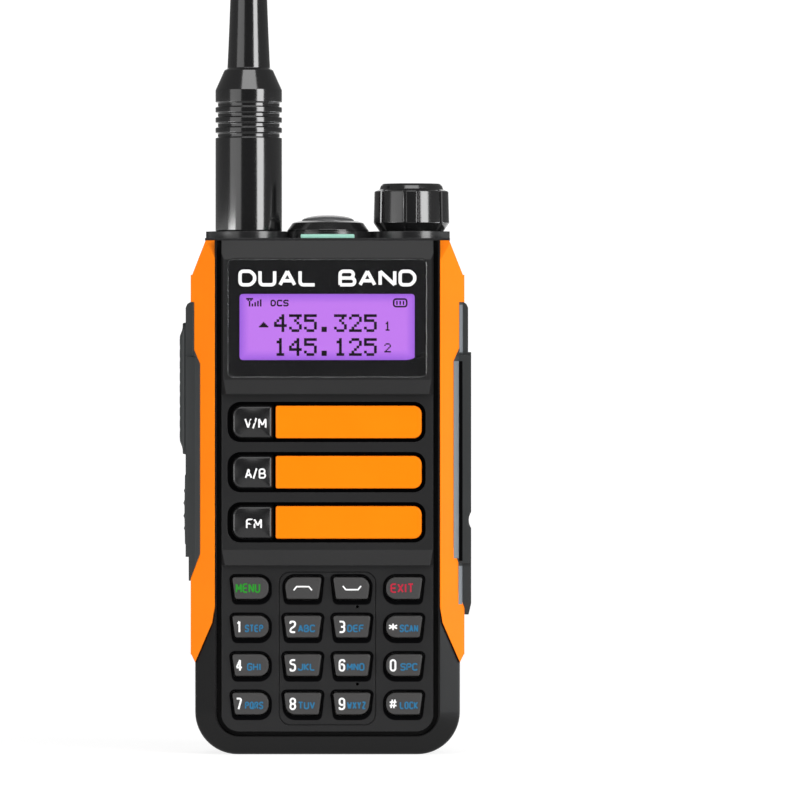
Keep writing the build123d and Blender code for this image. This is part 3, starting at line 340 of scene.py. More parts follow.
# How each finish is made: its maker, its colour or the name of its colour setting, and the values
# that follow them. For moulded these are roughness, grain, depth, edge, coat and specular level,
# and for metal they are roughness, stretch and edge.
FINISHES = {
    "housing_black": (moulded, "shell", 0.38, 0.45, 0.012, 0.3, 0.0, 0.12),
    "battery_black": (moulded, "shell", 0.45, 0.55, 0.022, 0.3, 0.0, 0.25),
    "panel_black": (moulded, "panel", 0.30, 0.40, 0.008, 0.22, 0.0, 0.2),
    "top_black": (moulded, (0.016, 0.016, 0.017), 0.26, 0.5, 0.004, 0.2, 0.3, 0.7),
    "side_orange": (moulded, "orange", 0.50, 0.4, 0.008, 0.28, 0.0, 0.1),
    "bar_orange": (moulded, "orange", 0.45, 0.4, 0.006, 0.0, 0.0, 0.1),
    "key_grey": (moulded, "key", 0.50, 0.25, 0.010, 0.0, 0.0, 0.3),
    "function_key": (moulded, (0.009, 0.009, 0.0095), 0.26, 0.4, 0.002, 0.0, 0.1, 0.4),
    "pad_rubber": (moulded, "rubber", 0.50, 0.22, 0.014, 0.3, 0.0, 0.35),
    "button_rubber": (moulded, "rubber", 0.48, 0.20, 0.012, 0.0, 0.0, 0.35),
    # Pale bluish grey for the side pads' 45 degree facets: a painted reflection of the side lamp.
    "facet_grey": (moulded, (0.135, 0.150, 0.165), 0.42, 0.3, 0.008, 0.0),
    "mat_rubber": (moulded, (0.03, 0.03, 0.03), 0.7, 0.3, 0.01),
    "antenna_rubber": (moulded, (0.006, 0.006, 0.0063), 0.14, 0.6, 0.002, 0.0, 0.5, 1.0),
    "knob_black": (moulded, (0.008, 0.008, 0.0083), 0.16, 0.5, 0.002, 0.0, 0.5, 1.0),
    "bezel_black": (moulded, (0.010, 0.010, 0.0105), 0.18, 0.5, 0.002, 0.0, 0.5),
    "latch_black": (moulded, (0.018, 0.018, 0.018), 0.4, 0.35, 0.01),
    "socket_black": (moulded, (0.012, 0.012, 0.012), 0.35, 0.3, 0.006),
    "clip_black": (moulded, (0.014, 0.014, 0.0145), 0.36, 0.7, 0.010, 0.25, 0.3),
    "mask_black": (moulded, (0.0045, 0.0045, 0.0048), 0.35, 0.5, 0.002, 0.0),
    # Near black with almost no sheen: painted shade for the key gaps, the pocket walls and a
    # groove, also given to the speaker cloth.
    "well_black": (moulded, (0.0015, 0.0015, 0.0018), 0.70, 0.3, 0.006, 0.0, 0.0, 0.02),
    "speaker_dark": (moulded, (0.03, 0.03, 0.03), 0.6, 0.4, 0.01),
    "backlight_white": (moulded, (0.75, 0.75, 0.77), 0.5),
    "led_white": (moulded, (0.75, 0.75, 0.74), 0.5, 0.3, 0.004, 0.0),
    "led_yellow": (glowing, (0.80, 0.62, 0.10), 0.15),
    "status_mint": (glowing, "mint", 0.12),
    "window_clear": (clear, (0.90, 0.90, 0.92)),
    "lens_clear": (frosted, (0.13, 0.13, 0.135)),
    "lcd_lit": (lit_screen, "screen"),
    "lcd_dots": (ink, "ink", 0.8),
    "reflector": (metal, (0.80, 0.80, 0.81), 0.16, (1.0, 1.0, 1.0), 0.0),
    "steel": (metal, (0.58, 0.58, 0.59), 0.28, (1.0, 1.0, 0.12)),
    "pot_metal": (metal, (0.62, 0.62, 0.63), 0.34, (0.2, 1.0, 1.0)),
    "brass": (metal, (0.80, 0.56, 0.22), 0.24, (1.0, 1.0, 0.2)),
    "cell_foil": (metal, (0.62, 0.62, 0.64), 0.4),
    "board_green": (board, (0.006, 0.085, 0.035)),
    "print_white": (ink, "white"),
    "print_blue": (ink, "blue"),
    "print_green": (ink, "green"),
    "print_red": (ink, "red"),
}


def finish_for(name):
    """The material of a slot or of a print, made the first time it is asked for."""
    title = "radio_" + name
    if title not in bpy.data.materials:
        maker, colour, *values = FINISHES[name]
        if isinstance(colour, str):
            colour = tuple(getattr(colours(), colour))
        maker(title, colour, *values)
    return bpy.data.materials[title]


def dress(*nodes):
    """Gives CAD nodes that stay in view the finish of their slot."""
    for node in nodes:
        for slot in frame["nodes"][node].material_slots:
            slot.material = finish_for(CAD_NODES[node])


# ---------------------------------------------------------------- outlines
def corners(points, radii, steps=10, closed=True):
    """Outline whose corners are arcs tangent to both sides; an open one keeps its two ends.

    An arc's centre stands on the corner's bisector at radius / sin(half the corner's angle), and
    its points turn evenly from one tangent point to the other. Points closer than a micron merge.
    """
    p = np.asarray(points, float)
    r = np.broadcast_to(np.asarray(radii, float), len(p))
    back, ahead = np.roll(p, 1, 0) - p, np.roll(p, -1, 0) - p
    if not closed:
        p, r, back, ahead = p[1:-1], r[1:-1], back[1:-1], ahead[1:-1]
    room = np.minimum(np.linalg.norm(back, axis=1), np.linalg.norm(ahead, axis=1)) * 0.49
    back = back / np.linalg.norm(back, axis=1)[:, None]
    ahead = ahead / np.linalg.norm(ahead, axis=1)[:, None]
    half = np.arccos(np.clip((back * ahead).sum(1), -1, 1)) / 2
    r = np.where(half > 1.54, 0.0, np.minimum(r, room * np.tan(np.minimum(half, 1.54))))
    bisector = back + ahead
    bisector /= np.maximum(np.linalg.norm(bisector, axis=1), 1e-9)[:, None]
    centre = p + bisector * (r / np.sin(half))[:, None]
    reach = (r / np.tan(half))[:, None]
    start, end = p + back * reach - centre, p + ahead * reach - centre
    first = np.arctan2(start[:, 1], start[:, 0])
    turn = np.arctan2(end[:, 1], end[:, 0]) - first
    turn = (turn + np.pi) % (2 * np.pi) - np.pi
    angle = first[:, None] + turn[:, None] * np.linspace(0, 1, steps)
    arc = centre[:, None] + r[:, None, None] * np.stack([np.cos(angle), np.sin(angle)], -1)
    line = arc.reshape(-1, 2)
    if not closed:
        ends = np.asarray(points, float)[[0, -1]]
        line = np.vstack([ends[:1], line, ends[1:]])
        return line[np.append(True, np.linalg.norm(np.diff(line, axis=0), axis=1) > 1e-3)]
    return line[np.linalg.norm(line - np.roll(line, 1, 0), axis=1) > 1e-3]


def even(outline, count):
    """The same closed outline, anticlockwise, at points evenly spaced along its length."""
    area = (outline[:, 0] * np.roll(outline[:, 1], -1) - np.roll(outline[:, 0], -1)
            * outline[:, 1]).sum()
    line = outline if area > 0 else outline[::-1]
    line = np.vstack([line, line[:1]])
    along = np.append(0, np.cumsum(np.linalg.norm(np.diff(line, axis=0), axis=1)))
    at = np.linspace(0, along[-1], count, endpoint=False)
    return np.stack([np.interp(at, along, line[:, 0]), np.interp(at, along, line[:, 1])], 1)


def inset(outline, distance):
    """The outline moved inwards along its own normals."""
    along = np.roll(outline, -1, 0) - np.roll(outline, 1, 0)
    along /= np.linalg.norm(along, axis=1)[:, None]
    return outline + distance * np.stack([-along[:, 1], along[:, 0]], 1)


def bar(width, height, radii, at=(0.0, 0.0)):
    """Rounded rectangle; radii run from the top left corner clockwise."""
    w, h = width / 2, height / 2
    points = np.array([(-w, h), (w, h), (w, -h), (-w, -h)]) + np.asarray(at)
    return corners(points, radii)


def bar_line(width, height, radius, at):
    """The same rectangle as a closed pen line."""
    line = bar(width, height, radius, at)
    return np.vstack([line, line[:1]])


# ---------------------------------------------------------------- surfaces
def skin(rings, start=None, end=None, loop=False):
    """Quads between successive rings of points.

    rings is an array of rings by points by three. A start or end point closes that end with a
    fan, an end left as None is closed by one flat face, and loop joins the last ring to the first.
    Gives (points, list of face arrays).
    """
    count, around = rings.shape[:2]
    points = rings.reshape(-1, 3)
    i = np.arange(around)
    j = np.roll(i, -1)
    last = count if loop else count - 1
    low = (np.arange(last) * around)[:, None]
    high = ((np.arange(last) + 1) % count * around)[:, None]
    faces = [np.stack([low + i, low + j, high + j, high + i], -1).reshape(-1, 4)]
    if not loop:
        top = (count - 1) * around
        for pole, base, order in ((start, 0, (1, 0)), (end, top, (0, 1))):
            if pole is None:
                ring = base + i
                faces.append((ring[::-1] if base == 0 else ring)[None, :])
            else:
                points = np.vstack([points, pole])
                tip = np.full(around, len(points) - 1)
                pair = (base + i, base + j)
                faces.append(np.stack([pair[order[0]], pair[order[1]], tip], -1))
    return points, faces


def gather(shapes):
    """Several shapes as one."""
    points, faces, first = [], [], 0
    for p, blocks in shapes:
        points.append(p)
        faces += [block + first for block in blocks]
        first += len(p)
    return np.vstack(points), faces


def front(u, v, h):
    """Plane of the front panel: u to the right, v up, h out of the panel."""
    return np.stack([u, -h, v], -1)


def left_side(u, v, h):
    """Left wall: u towards the back, v up, h outwards to -X."""
    return np.stack([-h, u, v], -1)


def right_side(u, v, h):
    """Right wall: u towards the back, v up, h outwards to +X."""
    return np.stack([h, u, v], -1)


def back(u, v, h):
    """Back face: u to the right as seen from behind, v up, h outwards to +Y."""
    return np.stack([-u, h, v], -1)


def upward(u, v, h):
    """Top face: u to the right, v towards the back, h up."""
    return np.stack([u, v, h], -1)


def raised(outline, levels, place, crown=0.0, count=160, rings=8, relief=None):
    """A cap: the outline carried up through levels, then closed by a crowned top.

    Each level is (inset, height). Above the last one the rim shrinks towards its middle by t, and
    the top rises by crown times the dome (1 - x squared)(1 - y squared), where x and y run from
    -1 to 1 across the rim, less the dome's own value at the rim, plus relief(u, v), which fades
    out at the rim.
    """
    line = even(outline, count)
    walls = [(inset(line, d), np.full(count, float(h))) for d, h in levels]
    rim, top = walls[-1][0], levels[-1][1]
    centre = (rim.min(0) + rim.max(0)) / 2
    across = (rim - centre) / ((rim.max(0) - rim.min(0)) / 2)

    def dome(t):
        """The dome's share of the crown at a ring t times the rim's size."""
        return (1 - (across[:, 0] * t) ** 2) * (1 - (across[:, 1] * t) ** 2)

    first_ring, relief_rate = 0.985, 6
    for t in np.append(first_ring, np.linspace(1, 0, rings + 1)[1:-1]):
        ring = centre + (rim - centre) * t
        height = top + crown * np.maximum(dome(t) - dome(1.0) * t * t, 0.0)
        if relief is not None:
            height = height + relief(ring[:, 0], ring[:, 1]) * min(1.0, (1 - t) * relief_rate)
        walls.append((ring, height))
    grid = np.stack([place(ring[:, 0], ring[:, 1], height) for ring, height in walls])
    tip_height = top + crown
    if relief is not None:
        tip_height = tip_height + float(relief(centre[:1], centre[1:])[0])
    tip = place(centre[:1], centre[1:], np.array([tip_height]))[0]
    return skin(grid, None, tip)


def flat_ring(outer, inner, low, high, place, count=160):
    """A plate with a hole: outer edge, inner edge and both faces, as one closed band."""
    out, hole = even(outer, count), even(inner, count)
    nearest = np.argmin(np.linalg.norm(hole - out[0], axis=1))
    hole = np.roll(hole, -nearest, 0)
    grid = np.stack([place(line[:, 0], line[:, 1], np.full(count, float(h)))
                     for line, h in ((out, low), (out, high), (hole, high), (hole, low))])
    return skin(grid, loop=True)


def lathe(line, centre, around=96, shape=None, loop=False):
    """An outline of (radius, height) turned about an upright axis through centre.

    A point is (radius cos a, radius sin a, height). shape(radius, angle, height) may change the
    radius. An outline that starts or ends on the axis is closed there by a fan.
    """
    angle = np.linspace(0, 2 * np.pi, around, endpoint=False)[None, :]
    line = np.asarray(line, float)
    ends = [None, None]
    for k, end in enumerate((0, -1)):
        if not loop and line[end, 0] < 1e-6:
            ends[k] = np.array([centre[0], centre[1], line[end, 1]])
    body = line[(1 if ends[0] is not None else 0):(len(line) - (1 if ends[1] is not None else 0))]
    radius, height = body[:, :1] + 0 * angle, body[:, 1:] + 0 * angle
    if shape is not None:
        radius = shape(radius, angle, height)
    grid = np.stack([centre[0] + radius * np.cos(angle), centre[1] + radius * np.sin(angle),
                     height], -1)
    return skin(grid, ends[0], ends[1], loop)


def tube(path, radius, around=14):
    """A round wire along a path: circles square to the path, their first direction carried
    along by taking away its part along each tangent, with both ends closed."""
    along = np.gradient(path, axis=0)
    along /= np.linalg.norm(along, axis=1)[:, None]
    side = np.cross(along, np.array([0.31, 0.52, 0.79]))
    side /= np.linalg.norm(side, axis=1)[:, None]
    up = np.cross(along, side)
    a = np.linspace(0, 2 * np.pi, around, endpoint=False)
    grid = path[:, None] + radius * (np.cos(a)[None, :, None] * side[:, None]
                                     + np.sin(a)[None, :, None] * up[:, None])
    return skin(grid, path[0] - along[0] * radius * 0.4, path[-1] + along[-1] * radius * 0.4)


def fade(off, half, soft):
    """1 near the middle, falling evenly to 0 over the last soft before off reaches half."""
    return np.clip((half - abs(off)) / soft, 0, 1)


def round_ribs(along, pitch, half):
    """Ribs a pitch apart: the square root of 1 less the distance from a rib's middle over half."""
    return fade(along % pitch - pitch / 2, half, half) ** 0.5


def strokes(lines, width, low, high, place):
    """Bent lines drawn with a flat pen: a rectangle carried along each line, its two sides moved
    out by half the width along the mitre of each corner. A line that ends where it starts is a
    closed ring, any other has flat ends. Neighbours stand a few microns apart, so that lines which
    cross never share a plane."""
    plates = []
    for order, line in enumerate(lines):
        p, rise = np.asarray(line, float), 0.005 * (order % 4)
        ring = np.linalg.norm(p[0] - p[-1]) < 1e-6
        p = p[:-1] if ring else p
        step = (np.roll(p, -1, 0) - p) if ring else np.diff(p, axis=0)
        step /= np.linalg.norm(step, axis=1)[:, None]
        normal = np.stack([-step[:, 1], step[:, 0]], 1)
        before = np.roll(normal, 1, 0) if ring else np.vstack([normal[:1], normal])
        after = normal if ring else np.vstack([normal, normal[-1:]])
        mitre = before + after
        mitre /= np.maximum((mitre * after).sum(1), 0.5)[:, None]
        left, right = p + mitre * width / 2, p - mitre * width / 2
        grid = np.stack([place(side[:, 0], side[:, 1], np.full(len(p), h + rise))
                         for side, h in ((right, low), (left, low), (left, high), (right, high))],
                        1)
        plates.append(skin(grid, loop=ring))
    return gather(plates)


# Each letter is a few pen lines in a cell one wide and one high: "x,y x,y" with / between lines,
# in tenths. A letter's width in cells follows its name where it isn't one.
PEN = {
    "0": "0,0 10,0 10,10 0,10 0,0", "1": "1,8 6,10 6,0", "2": "0,8 0,10 10,10 10,6 0,3 0,0 10,0",
    "3": "0,10 10,10 10,5 3,5/3,5 10,5 10,0 0,0", "4": "7,0 7,10 0,3 11,3",
    "5": "10,10 0,10 0,6 10,6 10,0 0,0 0,2", "6": "10,8 10,10 0,10 0,0 10,0 10,6 0,6",
    "7": "0,10 10,10 4,0", "8": "0,5 0,10 10,10 10,5 0,5/0,5 10,5 10,0 0,0 0,5",
    "9": "0,2 0,0 10,0 10,10 0,10 0,4 10,4", "*": "5,1 5,9/0,3 10,7/0,7 10,3",
    "#": "2,0 4,10/6,0 8,10/0,3 10,3/0,7 10,7", "/": "0,-1 8,11", "+": "0,5 10,5/5,0 5,10",
    "-": "1,5 9,5", "A": "0,0 5,10 10,0/2,3 8,3", "B": "0,0 0,10 9,10 9,5 0,5/0,5 10,5 10,0 0,0",
    "C": "10,8 10,10 0,10 0,0 10,0 10,2", "D": "0,0 0,10 7,10 10,7 10,3 7,0 0,0",
    "E": "10,10 0,10 0,0 10,0/0,5 9,5", "F": "10,10 0,10 0,0/0,5 9,5",
    "G": "10,8 10,10 0,10 0,0 10,0 10,5 5,5", "H": "0,0 0,10/10,0 10,10/0,5 10,5",
    "I": "5,0 5,10", "J": "10,10 10,0 0,0 0,3", "K": "0,0 0,10/10,10 1,5 10,0",
    "L": "0,10 0,0 10,0", "M": "0,0 0,10 5,3 10,10 10,0", "N": "0,0 0,10 10,0 10,10",
    "O": "0,0 10,0 10,10 0,10 0,0", "P": "0,0 0,10 10,10 10,5 0,5",
    "Q": "0,0 10,0 10,10 0,10 0,0/6,3 11,-1", "R": "0,0 0,10 10,10 10,5 0,5/5,5 10,0",
    "S": "10,8 10,10 0,10 0,5 10,5 10,0 0,0 0,2", "T": "0,10 10,10/5,10 5,0",
    "U": "0,10 0,0 10,0 10,10", "V": "0,10 5,0 10,10", "W": "0,10 3,0 5,7 7,0 10,10",
    "X": "0,0 10,10/0,10 10,0", "Y": "0,10 5,5 10,10/5,5 5,0", "Z": "0,10 10,10 0,0 10,0",
    " ": "",
}
PLATE = 0.12                # depth of a printed plate below the surface that it stands on
NARROW = {"I": 0.25, "1": 0.75, "/": 0.7, "M": 1.15, "W": 1.25, "-": 0.7}


def lettering(text, height, at, level, place, wide=0.55, pen=0.16, gap=0.36, relief=0.03):
    """Upright letters as thin plates, drawn with a pen and centred on at.

    height is the letters' own, wide a letter's width, pen the line's width and gap the space
    between letters, each as a share of the height. A square corner is rounded by a fifth of the
    height times the square of the half angle's tangent, and at a sharp one the pen starts anew.
    """
    tall = height * (1 - pen)
    width = np.array([NARROW.get(mark, 1.0) * wide * height for mark in text])
    step = width + gap * height
    left = np.cumsum(step) - step
    left += at[0] - (left[-1] + width[-1]) / 2
    lines = []
    for mark, x, w in zip(text, left, width):
        for line in filter(None, PEN[mark].split("/")):
            p = np.array([pair.split(",") for pair in line.split()], float) / 10
            p = p * (w, tall) + (x, at[1] - tall / 2)
            ring = np.allclose(p[0], p[-1])
            p = p[:-1] if ring else p
            back, ahead = np.roll(p, 1, 0) - p, np.roll(p, -1, 0) - p
            cosine = (back * ahead).sum(1) / (np.linalg.norm(back, axis=1)
                                              * np.linalg.norm(ahead, axis=1))
            share = (1 - cosine) / (1.001 + cosine)
            radii = height * 0.2 * np.clip(share, 0, 1.5)
            if ring:
                p = corners(p, radii, 6)
                lines.append(np.vstack([p, p[:1]]))
                continue
            ends = [0, *(i for i in range(1, len(p) - 1) if share[i] < 0.5), len(p) - 1]
            lines += [corners(p[a:b + 1], radii[a:b + 1], 6, False)
                      for a, b in zip(ends, ends[1:])]
    return strokes(lines, pen * height, level - PLATE, level + relief, place)


def dots(rows, left, top, pitch, low, high, place):
    """Square dots of a display: one thin block for each 1 in the rows, which are text. A square
    reaches past its cell by a twentieth of the pitch all round, so that neighbours join."""
    cells = np.array([[mark == "1" for mark in row] for row in rows])
    row, column = np.nonzero(cells)
    lap = pitch * 0.05
    u0, v1 = left + column * pitch - lap, top - row * pitch + lap
    u1, v0 = u0 + pitch + 2 * lap, v1 - pitch - 2 * lap
    square = [(u0, v0), (u1, v0), (u1, v1), (u0, v1)]
    points = np.stack([place(u, v, np.full(len(u), h)) for h in (low, high) for u, v in square], 1)
    block = np.array([(3, 2, 1, 0), (4, 5, 6, 7), (0, 1, 5, 4), (1, 2, 6, 5), (2, 3, 7, 6),
                      (3, 0, 4, 7)])
    faces = (block[None] + 8 * np.arange(len(u0))[:, None, None]).reshape(-1, 4)
    return points.reshape(-1, 3), [faces]


def piece(name, shape, body, slot, finish=None, hides=(), sharp=38.0):
    """Makes a shape in millimetres a mesh object that rides on a body.

    Faces that point inwards are turned, and only edges sharper than the angle stay sharp.
    """
    points, blocks = shape
    mesh = bpy.data.meshes.new(name)
    faces = [face for block in blocks for face in block.tolist()]
    mesh.from_pydata((points * MM).tolist(), [], faces)
    mesh.validate()
    mesh.update()
    mesh.calc_loop_triangles()
    corner = np.empty(len(mesh.loop_triangles) * 3, int)
    mesh.loop_triangles.foreach_get("vertices", corner)
    a, b, c = points[corner].reshape(-1, 3, 3).transpose(1, 0, 2)
    if np.einsum("ij,ij->i", a - points[0], np.cross(b - points[0], c - points[0])).sum() < 0:
        mesh.flip_normals()
    mesh.polygons.foreach_set("use_smooth", np.ones(len(mesh.polygons), bool))
    mesh.set_sharp_from_angle(angle=math.radians(sharp))
    mesh.materials.append(finish_for(finish or slot))
    thing = bpy.data.objects.new(name, mesh)
    bpy.context.scene.collection.objects.link(thing)
    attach(thing, body)
    if hides:
        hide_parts(*hides)
    return thing


# ---------------------------------------------------------------- the radio's pieces
COVER = cad_box("top_cover")[1][2]  # top of the top cover
PANEL = 17.8                # height of the keypad's plane on the front
WELL = 16.2                 # floor of the pockets that the bars and function keys stand in
SCREEN = (-0.07, 98.45)     # middle of the window's opening
FUNCTION_X = -17.25         # middle of the column of function keys
OUTER_X, INNER_X = 17.7, 5.65       # middles of the keypad's columns, either side of the middle
FUNCTION_KEYS = {"vm_key": "V/M", "ab_key": "A/B", "fm_key": "FM"}
ROWS = (("key_menu", "key_up", "key_down", "key_exit"), ("key_1", "key_2", "key_3", "key_star"),
        ("key_4", "key_5", "key_6", "key_0"), ("key_7", "key_8", "key_9", "key_hash"))
KEY_X = [middle(name)[0] for name in ROWS[1]]
KEY_Z = [middle(row[0])[2] for row in ROWS]
BAR_Z = [middle(name)[2] for name in FUNCTION_KEYS]


def key_outline(column, row):
    """A key's outline: outer columns are D-shaped, inner ones taper downwards, and the four
    keys at the corners of the middle block have one large corner each."""
    big, small, slant, half = 2.2, 0.5, 0.7, 2.5
    left, right = (-4.2, 4.2) if column in (0, 3) else (-4.35, 4.35)
    low_left = left if column == 3 else left + slant
    low_right = right if column == 0 else right - slant
    radii = [small] * 4
    if column in (0, 3):
        radii = [small, big, big, small] if column == 0 else [big, small, small, big]
    elif row in (0, 3):
        radii[{(1, 0): 0, (1, 3): 3, (2, 0): 1, (2, 3): 2}[(column, row)]] = big
    shift = np.array([key_shift(column), KEY_Z[row]])
    points = np.array([(left, half), (right, half), (low_right, -half), (low_left, -half)])
    return corners(points + shift, radii)


def key_shift(column):
    """Middle of a column of keys: the columns are the same distance either side of the middle."""
    return math.copysign(OUTER_X if column in (0, 3) else INNER_X, KEY_X[column])


class RADIO_OT_housings(bpy.types.Operator):
    """Finish the housings, the front panel, the side panels and the side pads"""
    bl_idname = "radio.housings"
    bl_label = "Housings"

    def execute(self, context):
        dress("front_housing", "rear_housing", "front_panel", "side_panel_left",
              "side_panel_right", "top_cover", "ptt_surround", "jack_trim", "jack_screw")
        return {"FINISHED"}


class RADIO_OT_insides(bpy.types.Operator):
    """Finish the parts inside the radio"""
    bl_idname = "radio.insides"
    bl_label = "Inside parts"

    def execute(self, context):
        dress("main_board", "loudspeaker", "lcd_backlight", "keypad_mat", "volume_pot",
              "volume_shaft", "antenna_insert", "spring_contacts", "jack_block", "battery_cells")
        return {"FINISHED"}


# Characters of the display, five dots wide and seven high, from the top row down.
DIGITS = {
    "0": "01110 10001 10011 10101 11001 10001 01110",
    "1": "00100 01100 00100 00100 00100 00100 01110",
    "2": "01110 10001 00001 00010 00100 01000 11111",
    "3": "11111 00010 00100 00010 00001 10001 01110",
    "4": "00010 00110 01010 10010 11111 00010 00010",
    "5": "11111 10000 11110 00001 00001 10001 01110",
    ".": "00000 00000 00000 00000 00000 01100 01100",
}


def dot_rows(text):
    """Rows of 1 and 0 for a line of characters five dots wide, with a blank column between."""
    return ["0".join(DIGITS[mark].split()[row] for mark in text) for row in range(7)]


class RADIO_OT_display(bpy.types.Operator):
    """Make the window, its black mask, the lit screen and what it shows"""
    bl_idname = "radio.display"
    bl_label = "Display"

    def execute(self, context):
        low, high = cad_box("display_window")
        under, top = -high[1], -low[1]
        at, (width, height) = outline_of("display_window")
        levels = [(0.0, under), (0.0, top - 0.25), (0.07, top - 0.08), (0.25, top)]
        piece("window", raised(bar(width, height, 1.3, at), levels, front, 0.0, 240, 3),
              "radio_body", "window_clear", hides=["display_window"])
        mask, opening = bar(width - 0.1, height - 0.1, 1.3, at), bar(40.3, 15.2, 0.7, SCREEN)
        piece("window_mask", flat_ring(mask, opening, under - 0.04, under - 0.01, front, 240),
              "radio_body", "panel_black", "mask_black")
        low, high = cad_box("lcd_panel")
        face = -low[1]
        at, (width, height) = outline_of("lcd_panel")
        levels = [(0.0, -high[1]), (0.0, face - 0.1), (0.1, face)]
        piece("screen", raised(bar(width, height, 0.3, at), levels, front, 0.0, 160, 3),
              "radio_body", "lcd_lit", hides=["lcd_panel"])
        piece("screen_dots", self.shown(face), "radio_body", "lcd_lit", "lcd_dots")
        words = lettering("DUAL BAND", 3.9, (0.0, 109.7), top, front, 0.86, 0.2, 0.32, 0.02)
        piece("band_words", words, "radio_body", "panel_black", "print_white")
        return {"FINISHED"}

    def shown(self, face):
        """Dark marks of the screen: signal bars, the letters of a tone code, a battery, an arrow,
        and two lines of figures, each with a small figure after it."""
        pitch, crest = millimetres("dot_pitch"), face + 0.05
        signal = ["11111000000", "01010000001", "00100000101", "00100010101", "00101010101",
                  "00101010101"]
        arrow = ["0001000", "0011100", "0111110", "1111111"]
        places = (
            # rows, left edge, top edge, pitch
            (dot_rows("435.325"), -12.25, 101.35, pitch),
            (dot_rows("145.125"), -12.25, 95.85, pitch),
            (dot_rows("1"), 13.1, 99.7, 0.3),
            (dot_rows("2"), 13.1, 94.7, 0.3),
            (signal, -18.7, 105.1, 0.32),
            (arrow, -15.75, 99.6, 0.31),
        )
        marks = [dots(*where, face, crest, front) for where in places]
        marks.append(lettering("DCS", 1.55, (-11.0, 103.95), face + 0.02, front, 0.6, 0.22, 0.34))
        battery = bar_line(3.0, 1.75, 0.55, (16.75, 104.0))
        charge = [[(x, 103.55), (x, 104.45)] for x in (16.0, 16.75, 17.5)]
        marks.append(strokes([battery], 0.38, face, crest, front))
        marks.append(strokes(charge, 0.34, face, crest, front))
        return gather(marks)


class RADIO_OT_bars(bpy.types.Operator):
    """Make the three coloured bars and the function keys beside them"""
    bl_idname = "radio.bars"
    bl_label = "Bars and function keys"

    def execute(self, context):
        top = -cad_box("speaker_bars")[0][1]
        (across, _), (width, _) = outline_of("speaker_bars")
        levels = [(0.0, WELL), (0.0, top - 0.4), (0.05, top - 0.2), (0.18, top - 0.06),
                  (0.38, top)]
        tops = [raised(bar(width, 7.5, (0.4, 1.9, 1.9, 0.4), (across, z)), levels, front, 0.06,
                       240, 6) for z in BAR_Z]
        piece("orange_bars", gather(tops), "radio_body", "bar_orange", hides=["speaker_bars"])
        # Liners on the pockets' walls and seats round the function keys are painted shade in the
        # recesses; the speaker cloth on the pocket floor is real, coloured with the same
        # painted-shade black.
        shade_liners = []
        for z in BAR_Z:
            pocket = even(bar(45.56, 9.26, (3.0, 2.7, 2.7, 3.0), (-0.2, z)), 240)
            cloth = bar(34.8, 9.1, (0.3, 2.6, 2.6, 0.3), (5.05, z))
            seat = bar(10.8, 9.1, (2.9, 0.4, 0.4, 2.9), (-17.45, z))
            hole = bar(9.7, 8.0, (2.5, 0.6, 0.6, 2.5), (FUNCTION_X, z))
            shade_liners += [
                flat_ring(pocket, inset(pocket, 0.1), WELL, PANEL + 0.03, front, 240),
                raised(cloth, [(0.0, WELL - 0.05), (0.0, WELL + 0.1)], front, 0.0, 160, 3),
                flat_ring(even(seat, 160), hole, WELL - 0.05, WELL + 0.1, front),
            ]
        piece("bar_wells", gather(shade_liners), "radio_body", "speaker_dark", "well_black")
        crest, flange = 17.45, 15.3
        levels = [(-0.7, flange - 0.7), (-0.7, flange), (0.0, flange), (0.0, crest - 0.6),
                  (0.1, crest - 0.28), (0.32, crest - 0.08), (0.7, crest)]
        for (name, text), z in zip(FUNCTION_KEYS.items(), BAR_Z):
            shape = bar(9.2, 7.5, (2.2, 0.5, 0.5, 2.2), (FUNCTION_X, z))
            piece(name + "_cap", raised(shape, levels, front, 0.5, 200, 14), name, "function_key",
                  hides=[name])
            at = (FUNCTION_X + (0.35 if text == "FM" else 0.7), z - 0.3)
            words = lettering(text, 2.35, at, crest + 0.42, front, 0.56, 0.16, 0.2, 0.06)
            piece(name + "_words", words, name, "function_key", "print_white")
        return {"FINISHED"}


LETTERS = {"key_1": "STEP", "key_2": "ABC", "key_3": "DEF", "key_star": "SCAN", "key_4": "GHI",
           "key_5": "JKL", "key_6": "MNO", "key_0": "SPC", "key_7": "PQRS", "key_8": "TUV",
           "key_9": "WXYZ", "key_hash": "LOCK"}


